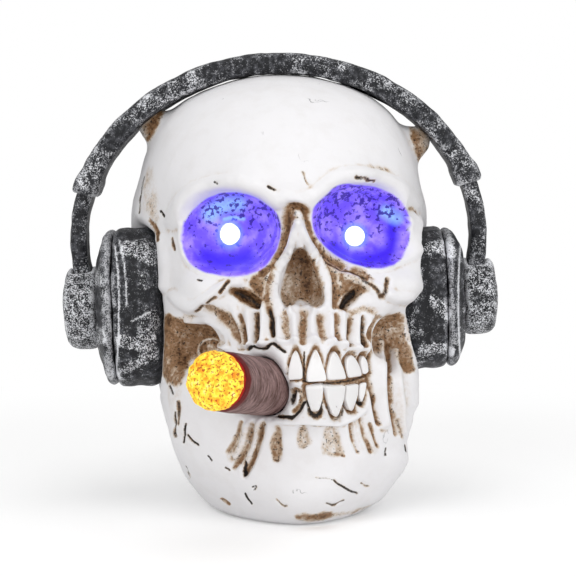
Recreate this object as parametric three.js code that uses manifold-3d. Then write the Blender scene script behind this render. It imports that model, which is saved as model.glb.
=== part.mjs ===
// Halloween skull light: a painted resin skull wearing headphones, with a lit cigar in its teeth
// and a light in each eye socket. Millimetres, +Z up. The face looks along -Y, and left and right
// are as seen from the front, so left is -X.
import * as THREE from 'three';
import { mergeVertices } from 'three/addons/utils/BufferGeometryUtils.js';
import Module from 'manifold-3d';

const wasm = await Module();
wasm.setup();

// Fits
const SEAT_GAP = 0.3;
const REACH = 200;

// Skull form: a loft through level sections, each an egg with a squarer front
const SKULL_TOP = 114;
const SKULL_WIDE = 40.4;
const FACE_TOP = 55;
const cranium = (rise, wide) => ({
  z: FACE_TOP + rise * (SKULL_TOP - FACE_TOP), halfWidth: wide * SKULL_WIDE,
});
const SKULL_STATIONS = [
  { ...cranium(1, 0), front: 5, back: 5, widest: 5, square: 2, backSquare: 2 },
  { ...cranium(0.949, 0.436), front: -12, back: 25, widest: 7, square: 2, backSquare: 2 },
  { ...cranium(0.8475, 0.713), front: -24.5, back: 38, widest: 9, square: 2, backSquare: 2 },
  { ...cranium(0.678, 0.871), front: -35, back: 48, widest: 12, square: 2.05, backSquare: 2.05 },
  { ...cranium(0.5085, 0.943), front: -39, back: 53, widest: 13, square: 2.05, backSquare: 2.05 },
  { ...cranium(0.339, 1), front: -37.5, back: 54, widest: 13, square: 2.05, backSquare: 2.1 },
  { ...cranium(0.1695, 0.946), front: -37, back: 53, widest: 11, square: 2.1, backSquare: 2.1 },
  { ...cranium(0, 0.886), front: -38, back: 51, widest: 8, square: 2.1, backSquare: 2.1 },
  { z: 46, halfWidth: 35.6, front: -38.5, back: 48, widest: 3, square: 2.2, backSquare: 2.2 },
  { z: 38, halfWidth: 35.3, front: -39, back: 44.5, widest: 0, square: 2.3, backSquare: 2.3 },
  { z: 30, halfWidth: 34.1, front: -39.5, back: 41.5, widest: -2, square: 2.3, backSquare: 2.4 },
  { z: 22, halfWidth: 32.2, front: -40, back: 39, widest: -3, square: 2.3, backSquare: 2.5 },
  { z: 14, halfWidth: 30, front: -40.5, back: 39, widest: -3, square: 2.2, backSquare: 2.7 },
  { z: 8, halfWidth: 27.8, front: -39.5, back: 38, widest: -2, square: 2, backSquare: 2.9 },
  { z: 3, halfWidth: 24, front: -36.5, back: 37.2, widest: -2, square: 1.9, backSquare: 3 },
  { z: 0, halfWidth: 22, front: -34.5, back: 36.4, widest: -2, square: 1.85, backSquare: 3 },
  { z: -5, halfWidth: 18, front: -31, back: 33, widest: -2, square: 1.8, backSquare: 3 },
];
const SKULL_FOOT = -4;
const SKULL_COLUMNS = 50;
const SKULL_ROWS = 32;
const CROWN_HEIGHT = 22;
const CROWN_ROWS = 7;
const FACE_DENSITY = 0.42;

// Swellings (height over zero) and hollows (under zero) of the skull, mirrored left and right
const SKULL_SWELLS = [
  { name: 'brow', at: [13, -40, 86], reach: [15, 16, 6.5], height: 3.4 },
  { name: 'outer brow', at: [28, -30, 79], reach: [7, 12, 10], height: 2.4 },
  { name: 'glabella', at: [0, -40, 83], reach: [7, 12, 7], height: 1.4 },
  { name: 'nasal bone', at: [0, -38, 71], reach: [5, 14, 11], height: 4.2 },
  { name: 'cheekbone', at: [25, -31, 58.5], reach: [12, 16, 8], height: 5.4 },
  { name: 'cheek arch', at: [34, -12, 57], reach: [9, 18, 6], height: 1.8 },
  { name: 'muzzle', at: [0, -41, 39], reach: [19, 30, 18], height: 8.5 },
  { name: 'chin', at: [0, -40, 9], reach: [17, 20, 11], height: 2.6 },
  { name: 'jaw corner', at: [28, -22, 18], reach: [12, 18, 12], height: 1.4 },
  { name: 'cheek hollow', at: [24, -31, 45], reach: [8, 16, 9], height: -3 },
  { name: 'jaw branch', at: [29, -22, 29], reach: [4.5, 13, 17], height: 2.4 },
  { name: 'temple hollow', at: [36, -16, 76], reach: [12, 16, 12], height: -3 },
  { name: 'chin groove', at: [0, -42, 21], reach: [15, 20, 6], height: -1.6 },
];

// Hollows cut into the face: a centre in front of the surface and half sizes
const FACE_HOLLOWS = [
  { name: 'left cheek', x: -26.2, z: 44.6, out: 1.5, half: [10, 10.5, 7.6], deep: true },
  { name: 'right cheek', x: 25.2, z: 44.6, out: 1.5, half: [8.6, 7.6, 7.6], deep: true },
  { name: 'left canine pit', x: -13, z: 57, out: 1, half: [4.2, 3.4, 2.3] },
  { name: 'right canine pit', x: 12.4, z: 57, out: 1, half: [3.6, 3.4, 2.6] },
  { name: 'left chin dent', x: -7.2, z: 22.3, out: 0.7, half: [1.8, 2, 4] },
  { name: 'middle chin dent', x: -1, z: 23.5, out: 0.7, half: [2.1, 2, 3] },
  { name: 'right chin dent', x: 6, z: 22.8, out: 0.7, half: [2.8, 2, 3.7] },
];

// How the modeller set the skull under the straight headphones
const FACE_TURN_DEG = 6.5;
const FACE_ROLL_DEG = -0.9;
const SKULL_SHIFT = 1.9;

// Eye sockets, nose and the hollow inside
const SOCKET = {
  x: 15.4, z: 74, lift: 0.35, halfWidth: 14.3, halfHeight: 10.9,
  rim: -37, floor: -20, tiltDeg: 10, splayDeg: 10,
};
const NOSE = { top: 70.8, bottom: 54, halfWidth: 6.2, floor: -28 };
const CASTING_WALL = 8;
const FEATURE_WALL = 4;
const CAVITY_FOOT = 16;
const CAVITY_COLUMNS = 20;
const CAVITY_ROWS = 8;

// Teeth stand in a bed round the muzzle
const BITE_Z = 36;
const UPPER_TOOTH = { width: 4.7, root: 2.6, height: 8.8 };
const LOWER_TOOTH = { width: 4.4, root: 2.4, height: 7.6 };
const TOOTH_TAPER = [1, 1, 0.8, 0.66, 0.6];
const TEETH_UNDER_CIGAR = 3;
const TOOTH_GAP = 0.45;
const TOOTH_PROUD = 0.3;
const TOOTH_SINK = 3;
const TOOTH_LEAN_DEG = 8;
const BED_DEPTH = 1.6;
const TOOTH_EDGE = 0.45;
const BITE_GAP = 0.8;

// Cigar, from the point where it leaves the teeth
const CIGAR = { x: -12, y: -42, z: 36.5, sideDeg: 27, upDeg: 10 };
const CIGAR_DIAMETER = 14.4;
const CIGAR_LENGTH = 24;
const CIGAR_ROOT = 11;
const CIGAR_BORE = 6.4;
const CIGAR_BORE_END = 20;
const CIGAR_NOSE = { edge: 0.5, length: 1, start: 5 };
const CIGAR_HEAD = { edge: 0.8, waist: 0.2, length: 4, end: 2 };
const EMBER_LENGTH = 4.4;
const EMBER_SPIGOT = 4;
const EMBER_SPIGOT_DIAMETER = 10.6;

// Five millimetre lights
const LED = {
  diameter: 5, flange: 5.8, flangeThick: 1, bodyLength: 4.6, leadPitch: 2.54, lead: 0.5, leadLength: 5,
};
const LED_WALL = 3;
const LED_HOLE = { front: 11, back: 12 };
const EYE_LIGHTS = [
  { side: 'left', sign: -1, out: 15.4, drop: 1.2 },
  { side: 'right', sign: 1, out: 16.4, drop: 3 },
];
const GLUE_LENGTH = 2.6;

// Headphones: an elliptical band, sliding arms, hubs, cups and pads, set in from the band's outside
const BAND = { standOff: 15.7, over: 5.2, centreZ: 17, thick: 5.6, depth: 14, bevel: 1.1, startDeg: 16.5 };
const COLLAR = { spanDeg: 6, extra: 0.6 };
const ARM = { thick: 4.2, depth: 9.5, inset: 0.7, endDeg: -12.5, tongueDeg: 5 };
const EAR_LINE = { y: 3, z: 53.3 };
const HEADPHONE_ROLL_DEG = -1.8;
const HUB = { proud: 1.4, length: 9, round: 3, edge: 0.8 };
const CUP = { length: 5, hubEnd: 28, recessDepth: 2.4, wall: 2, step: 0.8, edge: 0.8, rim: 2.2 };
const PAD = { length: 13, bore: 16, round: 4, edge: 1.2, groove: 0.7, grooveWide: 1, back: -2, square: 3.2 };
const EAR_SIDES = [
  { side: 'left', sign: -1, padDiameter: 42.6, hubDiameter: 22.6 },
  { side: 'right', sign: 1, padDiameter: 38, hubDiameter: 21 },
];

// Base: battery case in the foot of the casting, centred on its footprint
const BASE_Y = 5;
const FLANGE = { sideLip: 2.6, endLip: 1.2, thick: 2.6, recess: 0.6, corner: 10 };
const BATTERY = { diameter: 10.4, length: 44.5, nub: 3.8, nubLength: 0.8 };
const CASE_WALL = 1.2;
const SPRING = { length: 4.2, diameter: 6.4, tipDiameter: 4.2, wire: 0.7, turns: 3 };
const CONTACT = { thick: 0.4, width: 8, foot: 5.5, tail: 3, tailWidth: 2.4 };
const DOOR = { thick: 1.6, pin: 1.2, pinLength: 1.2, pinClear: 0.3, tongue: 2.2, tongueWidth: 8, scoop: 9 };
const SWITCH = { width: 4.4, length: 9, height: 4.5, travel: 2.5, pins: 3, pin: 0.7, pinLength: 2 };
const KNOB = { width: 2.2, length: 2.4, floorGap: 0.9, grip: 2 };
const BOARD = { width: 18, length: 18, thick: 1.2 };
const CHIP = { diameter: 7, height: 1.6 };
const RESISTOR = { diameter: 2.4, length: 6.5 };
const WIRE_DIAMETER = 1.8;
const BATTERY_WIRE = 1.2;

// Steps of a search, and facets round a full turn
const BISECTIONS = 24;
const FINE = 26;
const MEDIUM = 16;
const COARSE = 10;
const WIRE_SIDES = 8;

const degrees = THREE.MathUtils.degToRad;
const vector = (x, y, z) => new THREE.Vector3(x, y, z);
const point = (x, y) => new THREE.Vector2(x, y);

// A closed geometry as a solid for joins and cuts, moved by a matrix first if one is given
function solidOf(geometry, matrix = new THREE.Matrix4()) {
  const bare = geometry.clone();
  bare.deleteAttribute('normal');
  bare.deleteAttribute('uv');
  const merged = mergeVertices(bare.applyMatrix4(matrix), 1e-4);
  const corners = merged.index.array;
  const triangles = [];
  for (let i = 0; i < corners.length; i += 3) {
    const [a, b, c] = [corners[i], corners[i + 1], corners[i + 2]];
    if (a !== b && b !== c && c !== a) triangles.push(a, b, c);
  }
  return new wasm.Manifold(new wasm.Mesh({
    numProp: 3,
    vertProperties: new Float32Array(merged.attributes.position.array),
    triVerts: new Uint32Array(triangles),
  }));
}

// The geometry of a solid
function geometryOf(solid) {
  const mesh = solid.getMesh();
  const geometry = new THREE.BufferGeometry();
  geometry.setAttribute('position', new THREE.BufferAttribute(new Float32Array(mesh.vertProperties), 3));
  geometry.setIndex(new THREE.BufferAttribute(new Uint32Array(mesh.triVerts), 1));
  return geometry;
}

// A named piece with its own finish, from a geometry or a solid
function addPiece(group, name, shape, [color, roughness, metalness]) {
  const geometry = shape.isBufferGeometry ? shape : geometryOf(shape);
  const mesh = new THREE.Mesh(geometry, new THREE.MeshStandardMaterial({ color, roughness, metalness }));
  mesh.name = name;
  group.add(mesh);
  return mesh;
}

const FINISHES = {
  bone: [0xe6e2dc, 0.7, 0],
  blackPaint: [0x2b2d31, 0.45, 0.3],
  wrapper: [0x5f463f, 0.8, 0],
  ember: [0xffb02e, 0.5, 0],
  blueLed: [0xdfe9ff, 0.15, 0],
  amberLed: [0xffd27a, 0.15, 0],
  glue: [0xe8e4d4, 0.4, 0],
  blackPlastic: [0x1c1c1e, 0.5, 0],
  batteryJacket: [0x3a6b46, 0.35, 0.4],
  contactMetal: [0xc9cbcd, 0.3, 1],
  boardGreen: [0x2f6b3c, 0.5, 0],
  chipEpoxy: [0x151515, 0.35, 0],
  resistorBody: [0xcbb489, 0.5, 0],
  redWire: [0xb3261e, 0.45, 0],
  blackWire: [0x1f1f20, 0.45, 0],
  whiteWire: [0xd9d6cd, 0.45, 0],
  knob: [0xe4e4e2, 0.4, 0],
};

const shift = (x, y, z) => new THREE.Matrix4().makeTranslation(x, y, z);
const boxAt = (low, high) => {
  const [x, y, z] = [0, 1, 2].map((i) => high[i] - low[i]);
  const middle = [0, 1, 2].map((i) => (high[i] + low[i]) / 2);
  return solidOf(new THREE.BoxGeometry(x, y, z), shift(...middle));
};

// A revolved solid whose profile gives radius and distance along the axis
function revolve(profile, segments) {
  return new THREE.LatheGeometry(profile.map(([r, h]) => point(r, h)), segments);
}

// Draws a turned shape's outline out toward a square, as ear cups have it
function squared(geometry) {
  const places = geometry.getAttribute('position');
  const at = vector(0, 0, 0);
  for (let i = 0; i < places.count; i += 1) {
    at.fromBufferAttribute(places, i);
    const r = Math.hypot(at.x, at.z);
    const [across, along] = r > 0 ? [Math.abs(at.x) / r, Math.abs(at.z) / r] : [1, 0];
    const grow = (across ** PAD.square + along ** PAD.square) ** (-1 / PAD.square);
    places.setXYZ(i, at.x * grow, at.y, at.z * grow);
  }
  return geometry;
}

// A level outline between two heights
function prism(shape, low, high, curveSegments = 4) {
  return new THREE.ExtrudeGeometry(shape, { depth: high - low, bevelEnabled: false, curveSegments })
    .translate(0, 0, low);
}

function roundedRectangle(width, length, corner) {
  const shape = new THREE.Shape();
  const [x, y] = [width / 2, length / 2];
  shape.moveTo(-x + corner, -y);
  shape.absarc(x - corner, -y + corner, corner, -Math.PI / 2, 0, false);
  shape.absarc(x - corner, y - corner, corner, 0, Math.PI / 2, false);
  shape.absarc(-x + corner, y - corner, corner, Math.PI / 2, Math.PI, false);
  shape.absarc(-x + corner, -y + corner, corner, Math.PI, 1.5 * Math.PI, false);
  return shape;
}

// A round section with a few sides
function roundSection(diameter, sides) {
  const corners = [];
  for (let i = 0; i < sides; i += 1) {
    const turn = 2 * Math.PI * i / sides;
    corners.push(point(Math.cos(turn), Math.sin(turn)).multiplyScalar(diameter / 2));
  }
  return new THREE.Shape(corners);
}

// A round wire along a smooth curve through chosen points
function wireAlong(points, diameter = WIRE_DIAMETER) {
  const path = new THREE.CatmullRomCurve3(points, false, 'centripetal');
  const steps = Math.max(4, Math.round(path.getLength() / (2.5 * diameter)));
  return new THREE.ExtrudeGeometry(roundSection(diameter, WIRE_SIDES), { extrudePath: path, steps });
}

// Skull sections, smooth in the square root of the depth under the crown
const stationPlace = (z, grow) => Math.sqrt(Math.max(0, 1 - z / (SKULL_TOP + grow)));
const stationCurve = new THREE.CubicInterpolant(
  SKULL_STATIONS.map((s) => stationPlace(s.z, 0)),
  SKULL_STATIONS.flatMap((s) => [s.halfWidth, s.front, s.back, s.widest, s.square, s.backSquare]),
  6,
);

const swellAmount = (p) => SKULL_SWELLS.reduce((sum, { at, reach, height }) => {
  const q = ((Math.abs(p.x) - at[0]) / reach[0]) ** 2
    + ((p.y - at[1]) / reach[1]) ** 2 + ((p.z - at[2]) / reach[2]) ** 2;
  return sum + height * Math.max(0, 1 - q) ** 2;
}, 0);

// A point of the skull's surface at a height and an angle from the face, grown all round
function skullPoint(z, angle, grow, swells) {
  const [halfWidth, front, back, widest, square, backSquare] = stationCurve.evaluate(stationPlace(z, grow));
  const place = vector(0, widest, z);
  const fade = Math.min(1, (SKULL_TOP + grow - z) / CROWN_HEIGHT + 0.15);
  const width = halfWidth > 0 ? halfWidth + grow * fade : 0;
  const facing = Math.cos(angle) > 0;
  const depth = facing ? widest - front : back - widest;
  const reach = halfWidth > 0 ? depth + grow * fade : 0;
  const power = 2 / (facing ? square : backSquare);
  place.x = width * Math.sign(Math.sin(angle)) * Math.abs(Math.sin(angle)) ** power;
  place.y -= reach * Math.sign(Math.cos(angle)) * Math.abs(Math.cos(angle)) ** power;
  if (swells && width > 0) {
    const outward = vector(place.x / width ** 2, (place.y - widest) / reach ** 2, 0).normalize();
    place.addScaledVector(outward, swellAmount(place));
  }
  return place;
}

// The skull's closed surface, as rows of points from its foot to the crown
function skullLoft({
  grow = 0, swells = true, columns = SKULL_COLUMNS, rows = SKULL_ROWS, foot = SKULL_FOOT,
}) {
  const top = SKULL_TOP + grow;
  const crown = top - CROWN_HEIGHT;
  const heights = [];
  for (let i = 0; i <= rows; i += 1) heights.push(foot + (crown - foot) * i / rows);
  for (let i = 1; i < CROWN_ROWS; i += 1) heights.push(top - CROWN_HEIGHT * (1 - i / CROWN_ROWS) ** 2);
  const places = [];
  for (const z of heights) {
    for (let j = 0; j < columns; j += 1) {
      const even = 2 * Math.PI * j / columns - Math.PI;
      places.push(skullPoint(z, even - FACE_DENSITY * Math.sin(even), grow, swells));
    }
  }
  const footCentre = places.push(vector(0, SKULL_STATIONS.at(-1).widest, foot)) - 1;
  const crownPoint = places.push(skullPoint(top, 0, grow, false)) - 1;
  const faces = [];
  for (let j = 0; j < columns; j += 1) {
    const next = (j + 1) % columns;
    faces.push(footCentre, next, j);
    for (let i = 0; i + 1 < heights.length; i += 1) {
      const [a, b] = [i * columns + j, i * columns + next];
      faces.push(a, b, b + columns, a, b + columns, a + columns);
    }
    const last = (heights.length - 1) * columns;
    faces.push(last + j, last + next, crownPoint);
  }
  const geometry = new THREE.BufferGeometry().setFromPoints(places);
  geometry.setIndex(faces);
  return geometry;
}

// Groups: the skull sits turned and rolled, the headphones and the base stay straight
const assembly = new THREE.Group();
const skull = new THREE.Group();
skull.position.set(SKULL_SHIFT, 0, 0);
skull.rotation.order = 'ZYX';
skull.rotation.set(0, degrees(FACE_ROLL_DEG), degrees(FACE_TURN_DEG));
const headphones = new THREE.Group();
headphones.position.set(0, EAR_LINE.y, EAR_LINE.z);
headphones.rotation.set(0, degrees(HEADPHONE_ROLL_DEG), 0);
const base = new THREE.Group();
base.position.set(SKULL_SHIFT, BASE_Y, 0);
base.rotation.set(0, 0, degrees(FACE_TURN_DEG));
assembly.add(skull, headphones, base);
assembly.updateMatrixWorld(true);
const intoSkull = (group) => skull.matrixWorld.clone().invert().multiply(group.matrixWorld);

// One eye socket as a bowl, a wall larger where it keeps the hollow away
function socketBowl(sign, wall, segments) {
  const depth = SOCKET.floor - SOCKET.rim;
  const mouth = SOCKET.rim - depth;
  const bowl = [[0, 0], [0.4, 0.03], [0.68, 0.14], [0.87, 0.38], [0.96, 0.68], [1, 1]];
  const profile = bowl.map(([r, h]) => [r, SOCKET.floor + wall - h * (depth + wall)]);
  profile.push([1.16, mouth], [0, mouth]);
  const geometry = revolve(profile.reverse(), segments);
  geometry.scale(SOCKET.halfWidth + wall, 1, SOCKET.halfHeight + wall);
  geometry.rotateY(degrees(SOCKET.tiltDeg) * sign);
  geometry.translate(0, -SOCKET.floor, 0).rotateZ(degrees(SOCKET.splayDeg) * sign);
  return solidOf(geometry, shift(sign * SOCKET.x, SOCKET.floor, SOCKET.z + sign * SOCKET.lift));
}

// The nose opening, an upside-down heart with the nasal spine between its lobes
function noseOpening(wall) {
  const { top, bottom, halfWidth, floor } = NOSE;
  const [w, low, high] = [halfWidth + wall, bottom - wall, top + wall];
  const waist = low + (high - low) * 0.3;
  const spine = low + (high - low) * 0.12;
  const shape = new THREE.Shape();
  shape.moveTo(0, high);
  shape.bezierCurveTo(w * 0.45, high - 1, w * 0.9, waist + 4, w, waist);
  shape.bezierCurveTo(w, low + 0.6, w * 0.75, low, w * 0.5, low);
  shape.quadraticCurveTo(w * 0.16, low, 0, spine);
  shape.quadraticCurveTo(-w * 0.16, low, -w * 0.5, low);
  shape.bezierCurveTo(-w * 0.75, low, -w, low + 0.6, -w, waist);
  shape.bezierCurveTo(-w * 0.9, waist + 4, -w * 0.45, high - 1, 0, high);
  const geometry = prism(shape, 0, REACH, 6).rotateX(Math.PI / 2);
  return solidOf(geometry, shift(0, floor + wall, 0));
}

// How far forward the face is at a place seen from the front
function faceDepth(x, z) {
  let [low, high] = [0, Math.PI / 2];
  for (let i = 0; i < BISECTIONS; i += 1) {
    const angle = (low + high) / 2;
    if (skullPoint(z, angle, 0, true).x < Math.abs(x)) low = angle;
    else high = angle;
  }
  return skullPoint(z, low, 0, true).y;
}

// A hollow's own solid, a wall larger where it keeps the cavity away
function faceHollow({ x, z, out, half }, wall) {
  const geometry = new THREE.SphereGeometry(1, MEDIUM, WIRE_SIDES);
  geometry.scale(...half.map((size) => size + wall));
  return solidOf(geometry, shift(x, faceDepth(x, z) - out, z));
}

// The place on the muzzle at the bite line that lies a length along it from the middle
function archPlace(length) {
  const step = 0.002 * Math.sign(length);
  let [angle, walked] = [0, 0];
  let place = skullPoint(BITE_Z, angle, 0, true);
  let along = vector(0, 0, 0);
  while (walked < Math.abs(length)) {
    angle += step;
    const next = skullPoint(BITE_Z, angle, 0, true);
    along = next.clone().sub(place).multiplyScalar(Math.sign(length));
    walked += along.length();
    place = next;
  }
  return { place, turn: Math.atan2(along.y, along.x) };
}

// A tooth with its biting edge at zero and its root above
function toothShape({ width, root, height }) {
  const [half, neck] = [width / 2 - TOOTH_EDGE, root / 2 - TOOTH_EDGE];
  const shape = new THREE.Shape();
  shape.moveTo(-half + 0.5, TOOTH_EDGE);
  shape.lineTo(half - 0.5, TOOTH_EDGE);
  shape.quadraticCurveTo(half, TOOTH_EDGE, half, TOOTH_EDGE + 1);
  shape.quadraticCurveTo(half, height * 0.6, neck, height - TOOTH_EDGE - 1);
  shape.quadraticCurveTo(0, height - TOOTH_EDGE + 0.4, -neck, height - TOOTH_EDGE - 1);
  shape.quadraticCurveTo(-half, height * 0.6, -half, TOOTH_EDGE + 1);
  shape.quadraticCurveTo(-half, TOOTH_EDGE, -half + 0.5, TOOTH_EDGE);
  return shape;
}

function tooth({ width, root, height }, taper, length, up) {
  const size = { width: width * taper, root: root * taper, height };
  const depth = TOOTH_PROUD + TOOTH_SINK - 2 * TOOTH_EDGE;
  const geometry = new THREE.ExtrudeGeometry(toothShape(size), {
    depth, curveSegments: 1, bevelSegments: 1, bevelSize: TOOTH_EDGE, bevelThickness: TOOTH_EDGE,
  });
  geometry.translate(0, 0, TOOTH_EDGE - TOOTH_SINK).rotateX(Math.PI / 2 + degrees(-TOOTH_LEAN_DEG));
  if (!up) geometry.rotateY(Math.PI);
  const { place, turn } = archPlace(length);
  geometry.rotateZ(turn);
  return solidOf(geometry, shift(place.x, place.y, BITE_Z + (up ? BITE_GAP : -BITE_GAP) / 2));
}

// The length along the muzzle from the middle to a tooth's own middle
function toothLength(width, index) {
  const before = TOOTH_TAPER.slice(0, index).reduce((sum, taper) => sum + width * taper + TOOTH_GAP, 0);
  return before + (width * TOOTH_TAPER[index] + TOOTH_GAP) / 2;
}

// The bed that the teeth stand in: the muzzle is cut back between the gum lines
function gumCut() {
  const last = TOOTH_TAPER.length - 1;
  const lastHalf = UPPER_TOOTH.width * TOOTH_TAPER[last] / 2;
  const end = archPlace(toothLength(UPPER_TOOTH.width, last) + lastHalf).place;
  const low = [-end.x, -REACH, BITE_Z - LOWER_TOOTH.height];
  const high = [end.x, end.y, BITE_Z + UPPER_TOOTH.height];
  return boxAt(low, high).subtract(solidOf(skullLoft({ grow: -BED_DEPTH })));
}

// The cigar's own group, with its axis along its +Y, out of the mouth
const cigar = new THREE.Group();
cigar.position.set(CIGAR.x, CIGAR.y, CIGAR.z);
const [cigarSide, cigarUp] = [degrees(CIGAR.sideDeg), degrees(CIGAR.upDeg)];
const cigarLevel = vector(-Math.sin(cigarSide), -Math.cos(cigarSide), 0);
const cigarAxis = cigarLevel.multiplyScalar(Math.cos(cigarUp)).setZ(Math.sin(cigarUp));
cigar.quaternion.setFromUnitVectors(vector(0, 1, 0), cigarAxis);
skull.add(cigar);

// The eye lights' groups, with +Y out of the socket
const ledSeat = SOCKET.floor + LED_WALL;
const eyeGroups = EYE_LIGHTS.map(({ side, sign, out, drop }) => {
  const group = new THREE.Group();
  group.position.set(sign * out, ledSeat, SOCKET.z + sign * SOCKET.lift - drop);
  group.rotation.set(Math.PI, 0, 0);
  skull.add(group);
  return { side, sign, group };
});
skull.updateMatrixWorld(true);

// Holes that run along a group's own +Y axis
const roundHole = (diameter, low, high, group) => {
  const geometry = new THREE.CylinderGeometry(diameter / 2, diameter / 2, high - low, MEDIUM);
  return solidOf(geometry.translate(0, (low + high) / 2, 0), intoSkull(group));
};

// The case's places, from the batteries out: the switch stands beside the tray in one opening
const tray = {
  halfWidth: BATTERY.diameter + 2 * SEAT_GAP,
  halfLength: (BATTERY.length + SPRING.length + 2 * CONTACT.thick + 5 * SEAT_GAP) / 2,
};
const caseX = -(SWITCH.width + SEAT_GAP) / 2;
const opening = {
  width: 2 * (tray.halfWidth + CASE_WALL) + SWITCH.width + 3 * SEAT_GAP,
  length: 2 * (tray.halfLength + CASE_WALL + SEAT_GAP),
  corner: 2 * SEAT_GAP,
};
const flange = { width: opening.width + 2 * FLANGE.sideLip, length: opening.length + 2 * FLANGE.endLip };
const flangeTop = FLANGE.recess + FLANGE.thick;
const batteryZ = flangeTop + SEAT_GAP + BATTERY.diameter / 2;
tray.roof = batteryZ + BATTERY.diameter / 2 + SEAT_GAP;

// Places along the line through both ears, from the band's outside in
const bandHalfWidth = SKULL_WIDE + BAND.standOff;
const bandRise = SKULL_TOP + BAND.over - EAR_LINE.z - BAND.centreZ;
const hubOuter = bandHalfWidth + HUB.proud;
const hubInner = hubOuter - HUB.length;
const cupEnd = hubInner - SEAT_GAP;
const cupInner = hubInner - CUP.length;
const padEnd = cupInner - SEAT_GAP;
const padInner = cupInner - PAD.length;
const earTurn = (sign) => new THREE.Matrix4().makeRotationZ(-sign * Math.PI / 2);
const earFront = (back) => shift(0, back - REACH / 2, 0);
const reachBox = () => new THREE.BoxGeometry(REACH, REACH, REACH);

// The room that a pad takes in the temple, before the ears' line, a wall larger round the hollow
function padRoom(sign, radius, wall) {
  const [r, low] = [radius + wall, padInner - wall];
  const drum = squared(revolve([[0, low], [r, low], [r, REACH], [0, REACH]], FINE));
  const front = solidOf(reachBox(), intoSkull(headphones).multiply(earFront(PAD.back + wall)));
  return solidOf(drum, intoSkull(headphones).multiply(earTurn(sign))).intersect(front);
}

// Skull casting: the carved outside, hollow from the foot, bored for the lights and the cigar
function skullCasting() {
  let casting = solidOf(skullLoft({}));
  casting = casting.subtract(gumCut());
  for (const sign of [-1, 1]) {
    TOOTH_TAPER.forEach((taper, i) => {
      casting = casting.add(tooth(UPPER_TOOTH, taper, sign * toothLength(UPPER_TOOTH.width, i), true));
      if (sign < 0 && i < TEETH_UNDER_CIGAR) return;
      casting = casting.add(tooth(LOWER_TOOTH, taper, sign * toothLength(LOWER_TOOTH.width, i), false));
    });
  }
  let hollow = solidOf(skullLoft({
    grow: -CASTING_WALL, swells: false, columns: CAVITY_COLUMNS, rows: CAVITY_ROWS, foot: CAVITY_FOOT,
  }));
  hollow = hollow.subtract(noseOpening(FEATURE_WALL));
  for (const place of FACE_HOLLOWS) {
    if (place.deep) hollow = hollow.subtract(faceHollow(place, FEATURE_WALL));
    casting = casting.subtract(faceHollow(place, 0));
  }
  for (const sign of [-1, 1]) {
    hollow = hollow.subtract(socketBowl(sign, FEATURE_WALL, COARSE));
    casting = casting.subtract(socketBowl(sign, 0, FINE));
  }
  for (const { sign, padDiameter } of EAR_SIDES) {
    hollow = hollow.subtract(padRoom(sign, padDiameter / 2, FEATURE_WALL));
    casting = casting.subtract(padRoom(sign, padDiameter / 2, SEAT_GAP));
  }
  casting = casting.subtract(noseOpening(0)).subtract(hollow);
  const rebate = roundedRectangle(flange.width + 2 * SEAT_GAP, flange.length + 2 * SEAT_GAP, FLANGE.corner);
  const rebateTop = flangeTop + SEAT_GAP;
  casting = casting.subtract(solidOf(prism(rebate, -REACH, rebateTop), intoSkull(base)));
  const mouth = roundedRectangle(opening.width, opening.length, opening.corner);
  casting = casting.subtract(solidOf(prism(mouth, -REACH, CAVITY_FOOT + CASTING_WALL), intoSkull(base)));
  const ground = intoSkull(assembly).multiply(shift(0, 0, -REACH / 2));
  casting = casting.subtract(solidOf(reachBox(), ground));
  const cigarHole = CIGAR_DIAMETER + 2 * SEAT_GAP;
  casting = casting.subtract(roundHole(cigarHole, -CIGAR_ROOT - SEAT_GAP, REACH, cigar));
  casting = casting.subtract(roundHole(CIGAR_BORE, -CIGAR_ROOT - CIGAR_BORE_END, 0, cigar));
  for (const { group } of eyeGroups) {
    const [lightHole, flangeHole] = [LED.diameter + 2 * SEAT_GAP, LED.flange + 2 * SEAT_GAP];
    casting = casting.subtract(roundHole(lightHole, -LED.flangeThick, LED_HOLE.front, group));
    casting = casting.subtract(roundHole(flangeHole, -LED_HOLE.back, 0, group));
  }
  return casting;
}

addPiece(skull, 'skull_casting', skullCasting(), FINISHES.bone);

// Lights: a flanged dome on two leads, along +Y
function led() {
  const [r, dome] = [LED.diameter / 2, 5];
  const profile = [[0, -LED.flangeThick], [LED.flange / 2, -LED.flangeThick], [LED.flange / 2, 0], [r, 0]];
  for (let i = 0; i <= dome; i += 1) {
    const turn = i / dome * Math.PI / 2;
    profile.push([r * Math.cos(turn), LED.bodyLength + r * Math.sin(turn)]);
  }
  profile[profile.length - 1][0] = 0;
  let solid = solidOf(revolve(profile, MEDIUM));
  for (const sign of [-1, 1]) {
    const [x, half] = [sign * LED.leadPitch / 2, LED.lead / 2];
    const low = [x - half, -LED.flangeThick - LED.leadLength, -half];
    solid = solid.add(boxAt(low, [x + half, -LED.flangeThick / 2, half]));
  }
  return solid;
}

for (const { side, group } of eyeGroups) {
  const glueTop = -LED.flangeThick - 2 * SEAT_GAP;
  const glueFoot = glueTop - GLUE_LENGTH;
  const [inner, outer] = [LED.leadPitch / 2 + LED.lead + SEAT_GAP, LED.flange / 2];
  const ring = [[inner, glueTop], [inner, glueFoot], [outer, glueFoot], [outer, glueTop], [inner, glueTop]];
  const lightMesh = addPiece(group, `eye_led_${side}`, led(), FINISHES.blueLed);
  lightMesh.position.y = -SEAT_GAP;
  addPiece(group, `eye_glue_${side}`, revolve(ring, COARSE), FINISHES.glue);
}

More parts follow.
